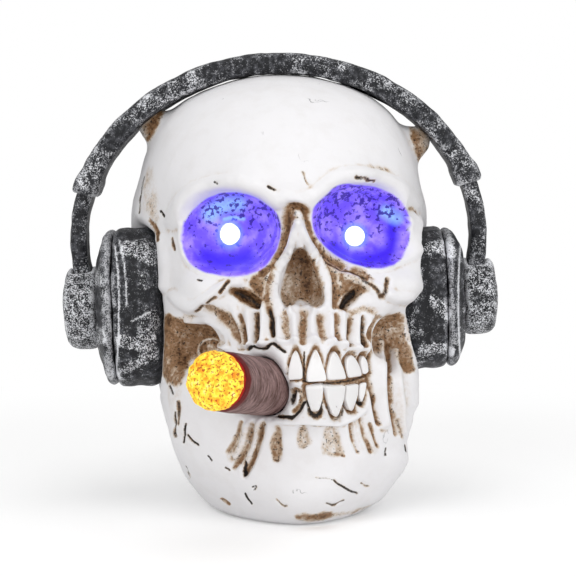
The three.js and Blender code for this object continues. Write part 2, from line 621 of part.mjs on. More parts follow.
// Cigar: a bored wrapper, a glowing tip on a spigot, and the light behind it
const cigarRadius = CIGAR_DIAMETER / 2;
const spigotRadius = EMBER_SPIGOT_DIAMETER / 2;
const boreRadius = CIGAR_BORE / 2;
const socketDepth = CIGAR_LENGTH - EMBER_SPIGOT - SEAT_GAP;
const emberSeat = spigotRadius + SEAT_GAP;
addPiece(cigar, 'cigar_wrapper', revolve([
  [boreRadius, -CIGAR_ROOT],
  [cigarRadius - CIGAR_HEAD.edge, -CIGAR_ROOT],
  [cigarRadius - CIGAR_HEAD.waist, -CIGAR_ROOT + CIGAR_HEAD.length],
  [cigarRadius, CIGAR_HEAD.end],
  [cigarRadius, CIGAR_LENGTH - CIGAR_NOSE.start],
  [cigarRadius - CIGAR_NOSE.edge / 3, CIGAR_LENGTH - CIGAR_NOSE.length],
  [cigarRadius - CIGAR_NOSE.edge, CIGAR_LENGTH],
  [emberSeat, CIGAR_LENGTH],
  [emberSeat, socketDepth],
  [boreRadius, socketDepth],
  [boreRadius, -CIGAR_ROOT],
], MEDIUM), FINISHES.wrapper);
const emberFoot = CIGAR_LENGTH + SEAT_GAP;
const spigotFoot = emberFoot - EMBER_SPIGOT;
const ledPocket = LED.diameter / 2 + SEAT_GAP;

// The glowing tip's dome: how far in from the cigar's side, at each share of its length
const EMBER_DOME = [[0.6, 0], [0.3, 0.2], [0.9, 0.55], [2.4, 0.82], [4.6, 0.98]];
const dome = EMBER_DOME.map(([inset, share]) => [cigarRadius - inset, emberFoot + share * EMBER_LENGTH]);
addPiece(cigar, 'cigar_ember', revolve([
  [0, emberFoot],
  [ledPocket, emberFoot],
  [ledPocket, spigotFoot],
  [spigotRadius, spigotFoot],
  [spigotRadius, emberFoot],
  ...dome,
  [0, emberFoot + EMBER_LENGTH],
], MEDIUM), FINISHES.ember);
const cigarLight = addPiece(cigar, 'cigar_led', led(), FINISHES.amberLed);
cigarLight.position.y = emberFoot - SEAT_GAP - LED.bodyLength - LED.diameter / 2;

// Headphones
const keepOut = solidOf(
  skullLoft({ grow: SEAT_GAP }),
  headphones.matrixWorld.clone().invert().multiply(skull.matrixWorld),
);

const keepBehind = keepOut.subtract(solidOf(reachBox(), earFront(PAD.back)));

// A bar bent along the band's ellipse, between two angles, from an inset under the outside
function bentBar({ inset, thick, depth, fromDeg, toDeg, bevel = 0, segments = 12 }) {
  const shape = new THREE.Shape();
  const [from, to] = [degrees(fromDeg), degrees(toDeg)];
  const [a, b] = [bandHalfWidth - inset, bandRise - inset];
  shape.absellipse(0, BAND.centreZ, a, b, from, to, false);
  shape.absellipse(0, BAND.centreZ, a - thick, b - thick, to, from, true);
  const geometry = new THREE.ExtrudeGeometry(shape, {
    depth: depth - 2 * bevel, curveSegments: segments, bevelEnabled: bevel > 0,
    bevelSegments: 1, bevelSize: bevel, bevelThickness: bevel, bevelOffset: -bevel,
  });
  return geometry.translate(0, 0, bevel - depth / 2).rotateX(Math.PI / 2);
}

const mirrorX = new THREE.Matrix4().makeRotationZ(Math.PI);
const sideMatrix = (sign) => (sign > 0 ? new THREE.Matrix4() : mirrorX);
const arm = (gap) => bentBar({
  inset: ARM.inset - gap,
  thick: ARM.thick + 2 * gap,
  depth: ARM.depth + 2 * gap,
  fromDeg: ARM.endDeg - gap,
  toDeg: BAND.startDeg + ARM.tongueDeg + gap,
  segments: 3,
});

const bandSpan = { fromDeg: BAND.startDeg, toDeg: 180 - BAND.startDeg };
let band = solidOf(bentBar({ ...BAND, ...bandSpan, inset: 0, segments: MEDIUM }));
for (const { sign } of EAR_SIDES) {
  const collar = bentBar({
    inset: -COLLAR.extra,
    thick: BAND.thick + 2 * COLLAR.extra,
    depth: BAND.depth + 2 * COLLAR.extra,
    bevel: BAND.bevel,
    fromDeg: BAND.startDeg,
    toDeg: BAND.startDeg + COLLAR.spanDeg,
    segments: 1,
  });
  band = band.add(solidOf(collar, sideMatrix(sign))).subtract(solidOf(arm(SEAT_GAP), sideMatrix(sign)));
}
addPiece(headphones, 'headband', band.subtract(keepOut), FINISHES.blackPaint);

// Each side: arm, hub, cup and pad, turned about the line through both ears
function earHub(radius) {
  const { edge, round } = HUB;
  return revolve([
    [0, hubInner], [radius - edge, hubInner], [radius, hubInner + edge], [radius, hubOuter - round],
    [radius - edge, hubOuter - edge], [radius - round, hubOuter - edge / 4], [0, hubOuter],
  ], MEDIUM);
}

function earCup(radius) {
  const { hubEnd, recessDepth, wall, edge, rim } = CUP;
  const floor = cupInner + recessDepth;
  return revolve([
    [0, floor], [hubEnd / 2 - wall, floor], [radius - 2 * wall, cupInner], [radius, cupInner],
    [radius, cupInner + rim], [hubEnd / 2 + edge, cupEnd - edge], [hubEnd / 2, cupEnd], [0, cupEnd],
  ], FINE);
}

function earPad(radius) {
  const { bore, round, edge, groove, grooveWide } = PAD;
  const crease = (padInner + padEnd) / 2 + grooveWide;
  const rib = groove / 4;
  return revolve([
    [bore / 2, padInner], [radius - round, padInner], [radius - edge, padInner + edge],
    [radius, padInner + round],
    [radius - rib, crease - edge], [radius - groove, crease], [radius - rib, crease + edge],
    [radius, padEnd - 3 * grooveWide], [radius - groove, padEnd - 2.2 * grooveWide],
    [radius - rib, padEnd - 1.4 * grooveWide], [radius - groove, padEnd], [bore / 2, padEnd],
    [bore / 2, padInner],
  ], FINE);
}

for (const { side, sign, padDiameter, hubDiameter } of EAR_SIDES) {
  const toSide = earTurn(sign);
  const armSlot = solidOf(arm(SEAT_GAP), sideMatrix(sign));
  const hub = solidOf(earHub(hubDiameter / 2), toSide).subtract(armSlot);
  const cup = solidOf(squared(earCup(padDiameter / 2 - CUP.step)), toSide).subtract(keepBehind);
  const pad = solidOf(squared(earPad(padDiameter / 2)), toSide).subtract(keepBehind);
  addPiece(headphones, `band_arm_${side}`, solidOf(arm(0), sideMatrix(sign)), FINISHES.blackPaint);
  addPiece(headphones, `ear_hub_${side}`, hub, FINISHES.blackPaint);
  addPiece(headphones, `ear_cup_${side}`, cup, FINISHES.blackPaint);
  addPiece(headphones, `ear_pad_${side}`, pad, FINISHES.blackPaint);
}

// Battery case: a flange in the foot of the casting with a tray over it, open below for the door
const hinge = { y: -tray.halfLength + DOOR.thick / 2 + SEAT_GAP, z: FLANGE.recess + FLANGE.thick / 2 };
const switchX = caseX + tray.halfWidth + CASE_WALL + SEAT_GAP + SWITCH.width / 2;
const doorHalfWidth = tray.halfWidth - SEAT_GAP;
function crossRod(diameter, halfLength) {
  const rod = new THREE.CylinderGeometry(diameter / 2, diameter / 2, 2 * halfLength, COARSE);
  return solidOf(rod.rotateZ(Math.PI / 2), shift(caseX, hinge.y, hinge.z));
}

const knobSlot = [KNOB.width / 2 + SEAT_GAP, (KNOB.length + SWITCH.travel) / 2 + SEAT_GAP];
function batteryCase() {
  const [w, l] = [tray.halfWidth, tray.halfLength];
  const plate = roundedRectangle(flange.width, flange.length, FLANGE.corner);
  let solid = solidOf(prism(plate, FLANGE.recess, flangeTop));
  const roofTop = tray.roof + CASE_WALL;
  const [outX, outY, foot] = [w + CASE_WALL, l + CASE_WALL, (FLANGE.recess + flangeTop) / 2];
  solid = solid.add(boxAt([caseX - outX, -outY, foot], [caseX + outX, outY, roofTop]));
  solid = solid.subtract(boxAt([caseX - w, -l, -REACH], [caseX + w, l, tray.roof]));
  const pinReach = doorHalfWidth + DOOR.pinLength + 2 * SEAT_GAP;
  solid = solid.subtract(crossRod(DOOR.pin + 2 * DOOR.pinClear, pinReach));
  for (const cell of cells) {
    const half = CONTACT.tailWidth / 2 + SEAT_GAP;
    const y = -l + CONTACT.thick / 2 + SEAT_GAP;
    const deep = CONTACT.thick / 2 + SEAT_GAP;
    const slotLow = [cell.x - half, y - deep, tray.roof - CASE_WALL];
    solid = solid.subtract(boxAt(slotLow, [cell.x + half, y + deep, roofTop + CASE_WALL]));
  }
  const [x, y] = knobSlot;
  return solid.subtract(boxAt([switchX - x, -y, -1], [switchX + x, y, flangeTop + 1]));
}

const cells = [
  { x: caseX - BATTERY.diameter / 2 - SEAT_GAP / 2, toward: 1 },
  { x: caseX + BATTERY.diameter / 2 + SEAT_GAP / 2, toward: -1 },
];
addPiece(base, 'battery_case', batteryCase(), FINISHES.blackPlastic);

// Battery door: hinged on two pins at the front, with a tongue and a finger scoop at the back
const doorGroup = new THREE.Group();
doorGroup.position.set(caseX, hinge.y, hinge.z);
base.add(doorGroup);
const doorLength = tray.halfLength - SEAT_GAP - hinge.y;
const doorHalf = DOOR.thick / 2;
let door = boxAt([-doorHalfWidth, 0, -doorHalf], [doorHalfWidth, doorLength, doorHalf]);
function doorRod(radius, half) {
  return new THREE.CylinderGeometry(radius, radius, 2 * half, COARSE).rotateZ(Math.PI / 2);
}
door = door.add(solidOf(doorRod(doorHalf, doorHalfWidth)));
door = door.add(solidOf(doorRod(DOOR.pin / 2, doorHalfWidth + DOOR.pinLength)));
const tongueX = DOOR.tongueWidth / 2;
door = door.add(boxAt([-tongueX, doorLength - 1.2, 0], [tongueX, doorLength, doorHalf + DOOR.tongue]));
const scoop = new THREE.CylinderGeometry(DOOR.scoop / 2, DOOR.scoop / 2, 1, MEDIUM).rotateX(Math.PI / 2);
door = door.subtract(solidOf(scoop, shift(0, doorLength - 4, -doorHalf)));
addPiece(doorGroup, 'battery_door', door, FINISHES.blackPlastic);

// Batteries lie head to tail between the contacts
const springEnd = tray.halfLength - CONTACT.thick - 2 * SEAT_GAP;
cells.forEach((cell, index) => {
  const [r, nub] = [BATTERY.diameter / 2, BATTERY.nub / 2];
  const shoulder = BATTERY.length - BATTERY.nubLength;
  const body = revolve([
    [0, 0], [r - 0.6, 0], [r, 0.6], [r, shoulder - 0.6], [r - 0.6, shoulder], [nub, shoulder],
    [nub, BATTERY.length], [0, BATTERY.length],
  ], MEDIUM);
  const mesh = addPiece(base, `battery_${index + 1}`, body, FINISHES.batteryJacket);
  const foot = -springEnd + SPRING.length + SEAT_GAP;
  mesh.position.set(cell.x, foot * cell.toward, batteryZ);
  mesh.rotation.z = cell.toward > 0 ? 0 : Math.PI;
});

// A coned contact spring along +Y, one unbroken wire
class ConeSpring extends THREE.Curve {
  getPoint(t) {
    const [turn, wire] = [2 * Math.PI * SPRING.turns * t, SPRING.wire];
    const radius = THREE.MathUtils.lerp(SPRING.diameter - wire, SPRING.tipDiameter - wire, t) / 2;
    return vector(radius * Math.cos(turn), wire / 2 + (SPRING.length - wire) * t, radius * Math.sin(turn));
  }
}
const SPRING_STEPS = 8;
const SPRING_SIDES = 5;
function contactSpring() {
  return new THREE.ExtrudeGeometry(roundSection(SPRING.wire, SPRING_SIDES), {
    extrudePath: new ConeSpring(), steps: SPRING_STEPS * SPRING.turns,
  });
}
const springGap = (SPRING.length - SPRING.wire) / SPRING.turns - SPRING.wire;
console.log('contact spring, least gap between turns', springGap.toFixed(2));

// Contacts: two tabs at the front end with tails through the roof, one bridge at the back
const contactTop = tray.roof - 2 * SEAT_GAP;
const tailTop = tray.roof + CASE_WALL + CONTACT.tail;
const contactY = tray.halfLength - SEAT_GAP - CONTACT.thick;
cells.forEach((cell) => {
  const name = cell.toward > 0 ? 'negative' : 'positive';
  const [half, tail] = [CONTACT.width / 2, CONTACT.tailWidth / 2];
  const [y0, y1] = [-contactY - CONTACT.thick, -contactY];
  let tab = boxAt([cell.x - half, y0, CONTACT.foot], [cell.x + half, y1, contactTop]);
  tab = tab.add(boxAt([cell.x - tail, y0, contactTop - CASE_WALL], [cell.x + tail, y1, tailTop]));
  addPiece(base, `${name}_contact`, tab, FINISHES.contactMetal);
  const springName = cell.toward > 0 ? 'negative_spring' : 'bridge_spring';
  const spring = addPiece(base, springName, contactSpring(), FINISHES.contactMetal);
  spring.position.set(cell.x, -springEnd * cell.toward, batteryZ);
  spring.rotation.z = cell.toward > 0 ? 0 : Math.PI;
});
const bridgeHalf = BATTERY.diameter / 2 + CONTACT.width / 2;
addPiece(base, 'bridge_contact', boxAt(
  [caseX - bridgeHalf, contactY, CONTACT.foot],
  [caseX + bridgeHalf, contactY + CONTACT.thick, contactTop],
), FINISHES.contactMetal);

// Slide switch beside the tray, its knob reaching down through the flange
const switchFoot = flangeTop + SEAT_GAP;
const [slotX, slotY] = knobSlot;
const switchHalf = [SWITCH.width / 2, SWITCH.length / 2];
let switchBody = boxAt([-switchHalf[0], -switchHalf[1], 0], [...switchHalf, SWITCH.height]);
switchBody = switchBody.subtract(boxAt([-slotX, -slotY, -1], [slotX, slotY, KNOB.grip + SEAT_GAP]));
const pinPitch = SWITCH.length / (SWITCH.pins + 0.5);
for (let i = 0; i < SWITCH.pins; i += 1) {
  const y = (i - (SWITCH.pins - 1) / 2) * pinPitch;
  const half = SWITCH.pin / 2;
  const pinLow = [-half, y - half, SWITCH.height - SWITCH.pin];
  switchBody = switchBody.add(boxAt(pinLow, [half, y + half, SWITCH.height + SWITCH.pinLength]));
}
const switchMesh = addPiece(base, 'switch_body', switchBody, FINISHES.contactMetal);
switchMesh.position.set(switchX, 0, switchFoot);
const knobMesh = addPiece(base, 'switch_knob', boxAt(
  [-KNOB.width / 2, -KNOB.length / 2, KNOB.floorGap],
  [KNOB.width / 2, KNOB.length / 2, switchFoot + KNOB.grip],
), FINISHES.knob);
knobMesh.position.set(switchX, SWITCH.travel / 2, 0);

// Circuit board on the tray's roof, with its chip under a blob and one resistor
const boardFoot = tray.roof + CASE_WALL + SEAT_GAP;
const boardTop = boardFoot + BOARD.thick;
addPiece(base, 'circuit_board', boxAt(
  [caseX - BOARD.width / 2, -BOARD.length / 2, boardFoot],
  [caseX + BOARD.width / 2, BOARD.length / 2, boardTop],
), FINISHES.boardGreen);
const chipMesh = addPiece(base, 'chip_blob', revolve([
  [0, 0], [CHIP.diameter / 2, 0], [CHIP.diameter * 0.42, CHIP.height * 0.6],
  [CHIP.diameter / 4, CHIP.height], [0, CHIP.height],
], COARSE).rotateX(Math.PI / 2), FINISHES.chipEpoxy);
chipMesh.position.set(caseX + 3.5, 3.5, boardTop + SEAT_GAP);
const resistorR = RESISTOR.diameter / 2;
const resistorMesh = addPiece(base, 'resistor', revolve([
  [0, -RESISTOR.length / 2], [resistorR, -RESISTOR.length * 0.45], [resistorR * 0.8, -RESISTOR.length / 5],
  [resistorR * 0.8, RESISTOR.length / 5], [resistorR, RESISTOR.length * 0.45], [0, RESISTOR.length / 2],
], COARSE), FINISHES.resistorBody);
resistorMesh.position.set(caseX - 6.5, 4.5, boardTop + SEAT_GAP + resistorR);

// Leads inside the hollow, each along its own route
const leads = new THREE.Group();
assembly.add(leads);
assembly.updateMatrixWorld(true);
const from = (group, x, y, z) => group.localToWorld(vector(x, y, z));
const leadsEnd = -LED.flangeThick - LED.leadLength - 2 * SEAT_GAP;
const boardLead = (x, y, z) => from(base, caseX + x, y, boardTop + z);
const wireSeat = SEAT_GAP;
for (const { side, sign, group } of eyeGroups) {
  addPiece(leads, `eye_lead_${side}`, wireAlong([
    boardLead(sign * 3, -5.5, wireSeat), boardLead(sign * 3, -5.5, 6), from(skull, sign * 9, 2, 45),
    from(group, 0, leadsEnd - 7, -3), from(group, 0, leadsEnd - 3, 0), from(group, 0, leadsEnd, 0),
  ]), FINISHES.whiteWire);
}
const cigarLeadEnd = cigarLight.position.y + leadsEnd + SEAT_GAP;
addPiece(leads, 'cigar_lead', wireAlong([
  boardLead(-7, -5.5, wireSeat), boardLead(-7, -6, 5), from(cigar, 0, -CIGAR_ROOT - 6, -1),
  from(cigar, 0, -CIGAR_ROOT, 0), from(cigar, 0, 0, 0), from(cigar, 0, cigarLeadEnd, 0),
]), FINISHES.whiteWire);
const boardEdge = -BOARD.length / 2 - SEAT_GAP;
const tailY = -contactY + SEAT_GAP;
const [negativeCell, positiveCell] = cells;
addPiece(leads, 'battery_lead_red', wireAlong([
  from(base, positiveCell.x, tailY, tailTop - 1), from(base, positiveCell.x, tailY + 5, tailTop - 0.5),
  from(base, positiveCell.x - 3, boardEdge - 4, boardTop),
  from(base, positiveCell.x - 3, boardEdge, boardTop),
], BATTERY_WIRE), FINISHES.redWire);
const pinTop = switchFoot + SWITCH.height + SWITCH.pinLength + SEAT_GAP;
addPiece(leads, 'battery_lead_black', wireAlong([
  from(base, negativeCell.x, tailY, tailTop - 1), from(base, negativeCell.x, tailY + 3, tailTop - 0.6),
  from(base, caseX, tailY + 6, tailTop + 3), from(base, switchX - 1, -12, tailTop + 1),
  from(base, switchX, -pinPitch, pinTop + 4), from(base, switchX, -pinPitch, pinTop),
], BATTERY_WIRE), FINISHES.blackWire);
addPiece(leads, 'switch_lead', wireAlong([
  from(base, switchX, 0, pinTop), from(base, switchX, 0, pinTop + 4),
  from(base, switchX - 1, 1, boardTop + 1),
  from(base, caseX + BOARD.width / 2 + 2.5, 2, boardTop - BOARD.thick / 2),
  from(base, caseX + BOARD.width / 2 + SEAT_GAP, 2, boardTop - BOARD.thick / 2),
], BATTERY_WIRE), FINISHES.redWire);

// Origin: on the ground under the middle of the whole figure
assembly.updateMatrixWorld(true);
const extent = new THREE.Box3().setFromObject(assembly, true);
const middle = extent.getCenter(vector(0, 0, 0));
assembly.position.set(-middle.x, -middle.y, -extent.min.z);
const model = new THREE.Group();
model.add(assembly);

export default model;
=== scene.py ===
"""Dress the halloween skull light: carved bone, dry-brushed headphones, lit sockets and a glowing cigar."""

import logging
import math
from dataclasses import dataclass, field
from enum import Enum
from functools import reduce
from typing import Any, Iterable, Optional, Sequence, Union

import bmesh
import bpy
import numpy as np
from mathutils import Matrix, Vector, noise
from mathutils.bvhtree import BVHTree


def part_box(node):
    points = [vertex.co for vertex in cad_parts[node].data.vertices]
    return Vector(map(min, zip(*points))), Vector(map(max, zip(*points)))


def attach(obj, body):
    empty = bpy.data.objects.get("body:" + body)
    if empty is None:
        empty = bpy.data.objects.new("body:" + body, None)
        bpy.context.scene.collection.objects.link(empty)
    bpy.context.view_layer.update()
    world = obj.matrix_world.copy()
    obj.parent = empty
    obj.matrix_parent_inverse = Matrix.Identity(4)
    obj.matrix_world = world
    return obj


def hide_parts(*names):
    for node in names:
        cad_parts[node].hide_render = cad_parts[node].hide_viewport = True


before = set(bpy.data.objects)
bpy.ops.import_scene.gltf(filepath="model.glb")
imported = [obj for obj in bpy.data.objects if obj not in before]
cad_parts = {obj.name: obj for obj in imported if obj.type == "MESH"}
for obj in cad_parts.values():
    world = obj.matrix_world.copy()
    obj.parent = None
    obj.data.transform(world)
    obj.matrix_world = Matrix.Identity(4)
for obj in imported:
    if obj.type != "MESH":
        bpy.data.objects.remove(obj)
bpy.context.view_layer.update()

MM = 0.001
MERGE = 1e-6
BODY = "figure"
SIDES = ("left", "right")
Triple = tuple[float, float, float]
Colour = Triple
Span = tuple[float, float]
Pixel = tuple[float, float]
Path = tuple[Pixel, ...]
EVEN: Triple = (1.0, 1.0, 1.0)
BLACK: Colour = (0.0, 0.0, 0.0)
WHITE: Colour = (1.0, 1.0, 1.0)
LOG = logging.getLogger("skull_light")


@dataclass(frozen=True)
class PhotoCamera:
    """The camera that took the photograph. Places are in millimetres, pictures in pixels."""

    target: Triple = (2.0, 8.9, 57.0)
    distance: float = 450.0
    elevation_deg: float = 4.0
    focal_px: float = 1687.0
    picture_px: float = 576.0
    sensor_mm: float = 36.0

    def axes(self) -> tuple[Vector, Vector, Vector]:
        """The camera's axes.

        Returns:
            Its right, up and backward directions.
        """
        rise = math.radians(self.elevation_deg)
        back = Vector((0.0, -math.cos(rise), math.sin(rise)))
        right = Vector((1.0, 0.0, 0.0))
        return right, back.cross(right), back

    def place(self) -> Vector:
        """Where the camera stands, in millimetres."""
        return Vector(self.target) + self.distance * self.axes()[2]

    def build(self) -> None:
        """Add the camera to the scene and look through it."""
        data = bpy.data.cameras.new("photo_camera")
        data.sensor_width = self.sensor_mm
        data.lens = self.focal_px / self.picture_px * self.sensor_mm
        camera = bpy.data.objects.new("photo_camera", data)
        turn = Matrix(self.axes()).transposed().to_4x4()
        camera.matrix_world = Matrix.Translation(self.place() * MM) @ turn
        bpy.context.scene.collection.objects.link(camera)
        bpy.context.scene.camera = camera

    def pixels(self, points: np.ndarray) -> np.ndarray:
        """Where points show in the picture.

        Args:
            points: Places in millimetres, one row each.

        Returns:
            Pixel columns and rows, one row for each point.
        """
        right, up, back = (np.array(axis) for axis in self.axes())
        offset = points - np.array(self.place())
        depth = -(offset @ back)
        half = self.picture_px / 2
        column = half + self.focal_px * (offset @ right) / depth
        row = half - self.focal_px * (offset @ up) / depth
        return np.stack([column, row], axis=1)

    def ray(self, pixel: Pixel) -> Vector:
        """The direction from the camera through a pixel.

        Args:
            pixel: The pixel's column and row.

        Returns:
            A unit vector.
        """
        right, up, back = self.axes()
        half = self.picture_px / 2
        across = (pixel[0] - half) / self.focal_px
        rise = (half - pixel[1]) / self.focal_px
        return (right * across + up * rise - back).normalized()


CAMERA = PhotoCamera()


class Signal:
    """A shader socket that takes part in Python arithmetic through Math nodes."""

    def __init__(self, tree: "ShaderTree", socket: bpy.types.NodeSocket) -> None:
        """Wrap a socket of a tree."""
        self.tree = tree
        self.socket = socket

    def _math(self, operation: str, *values: Union["Signal", float]) -> "Signal":
        """Add a Math node on some values."""
        inputs = dict(enumerate(values))
        return self.tree.node("ShaderNodeMath", {"operation": operation}, inputs)

    def __add__(self, other: Union["Signal", float]) -> "Signal":
        """This plus another."""
        return self._math("ADD", self, other)

    __radd__ = __add__

    def __sub__(self, other: Union["Signal", float]) -> "Signal":
        """This minus another."""
        return self._math("SUBTRACT", self, other)

    def __rsub__(self, other: float) -> "Signal":
        """A number minus this."""
        return self._math("SUBTRACT", other, self)

    def __mul__(self, other: Union["Signal", float]) -> "Signal":
        """This times another."""
        return self._math("MULTIPLY", self, other)

    __rmul__ = __mul__

    def most(self, other: Union["Signal", float]) -> "Signal":
        """The larger of this and another."""
        return self._math("MAXIMUM", self, other)

    def step(self, low: float, high: float) -> "Signal":
        """A smooth step of this from 0 at low to 1 at high."""
        inputs = {"Value": self, "From Min": low, "From Max": high}
        return self.tree.node("ShaderNodeMapRange", {"interpolation_type": "SMOOTHSTEP"}, inputs)


Paint = Union[Signal, Colour]


class ShaderTree:
    """A material's or the world's nodes, added one at a time."""

    roughness: float = 0.6

    def __init__(self, name: str, world: bool = False) -> None:
        """Start a material with nothing but its output.

        Args:
            name: The material's name.
            world: Whether it is a world instead.
        """
        self.owner = (bpy.data.worlds if world else bpy.data.materials).new(name)
        self.owner.use_nodes = True
        self.nodes = self.owner.node_tree.nodes
        self.links = self.owner.node_tree.links
        self.nodes.clear()
        self.output = self.nodes.new("ShaderNodeOutputWorld" if world else "ShaderNodeOutputMaterial")

    def node(
        self,
        kind: str,
        settings: Optional[dict[str, Any]] = None,
        inputs: Optional[dict[Union[str, int], Any]] = None,
        output: Union[str, int] = 0,
    ) -> Signal:
        """Add any node.

        Args:
            kind: The node's type.
            settings: Its own properties, set before its sockets.
            inputs: Values or signals by socket name or number.
            output: The socket to give back.

        Returns:
            The chosen output.
        """
        node = self.nodes.new(kind)
        for name, value in (settings or {}).items():
            setattr(node, name, value)
        for name, value in (inputs or {}).items():
            if isinstance(value, Signal):
                self.links.new(value.socket, node.inputs[name])
            elif isinstance(value, tuple) and node.inputs[name].type == "RGBA":
                node.inputs[name].default_value = (*value, 1.0)
            else:
                node.inputs[name].default_value = value
        return Signal(self, node.outputs[output])

    def place(self, stretch: Triple = EVEN) -> Signal:
        """Object coordinates in millimetres, stretched along the axes.

        Args:
            stretch: How many times longer the coordinates get along each axis.

        Returns:
            The coordinates.
        """
        where = self.node("ShaderNodeTexCoord", output="Object")
        scale = tuple(value / MM for value in stretch)
        return self.node("ShaderNodeMapping", {}, {"Vector": where, "Scale": scale})

    def noise(self, size: float, detail: float = 3.0, stretch: Triple = EVEN) -> Signal:
        """Soft noise whose grains are about a size in millimetres.

        Args:
            size: The grains' size.
            detail: How many finer layers it has.
            stretch: How many times finer it gets along each axis.

        Returns:
            The noise, from 0 to 1.
        """
        inputs = {"Vector": self.place(stretch), "Scale": 1.0 / size, "Detail": detail}
        inputs["Roughness"] = self.roughness
        return self.node("ShaderNodeTexNoise", {}, inputs, "Fac")

    def attribute(self, name: str) -> Signal:
        """A value painted on the mesh."""
        return self.node("ShaderNodeAttribute", {"attribute_name": name}, output="Fac")

    def mix(self, factor: Union[Signal, float], low: Paint, high: Paint) -> Signal:
        """A colour between two."""
        settings = {"data_type": "RGBA", "clamp_factor": True}
        return self.node("ShaderNodeMix", settings, {0: factor, 6: low, 7: high}, 2)

    def bump(self, height: Signal, distance: float, strength: float = 1.0) -> Signal:
        """A bumped normal from a height, with its depth in millimetres."""
        inputs = {"Height": height, "Distance": distance * MM, "Strength": strength}
        return self.node("ShaderNodeBump", {}, inputs)

    def seen(self, *rays: str) -> Signal:
        """1 for the named kinds of ray and 0 for the others."""
        kinds = [self.node("ShaderNodeLightPath", output=f"Is {ray} Ray") for ray in rays]
        return reduce(Signal.most, kinds)

    def close(self, surface: Signal) -> bpy.types.ID:
        """Link a surface to the output and give back the material or world."""
        self.links.new(surface.socket, self.output.inputs["Surface"])
        return self.owner

    def finish(self, **sockets: Any) -> bpy.types.Material:
        """Close the material with a Principled shader whose sockets' names have underscores for spaces."""
        inputs = {name.replace("_", " "): value for name, value in sockets.items()}
        return self.close(self.node("ShaderNodeBsdfPrincipled", {}, inputs))


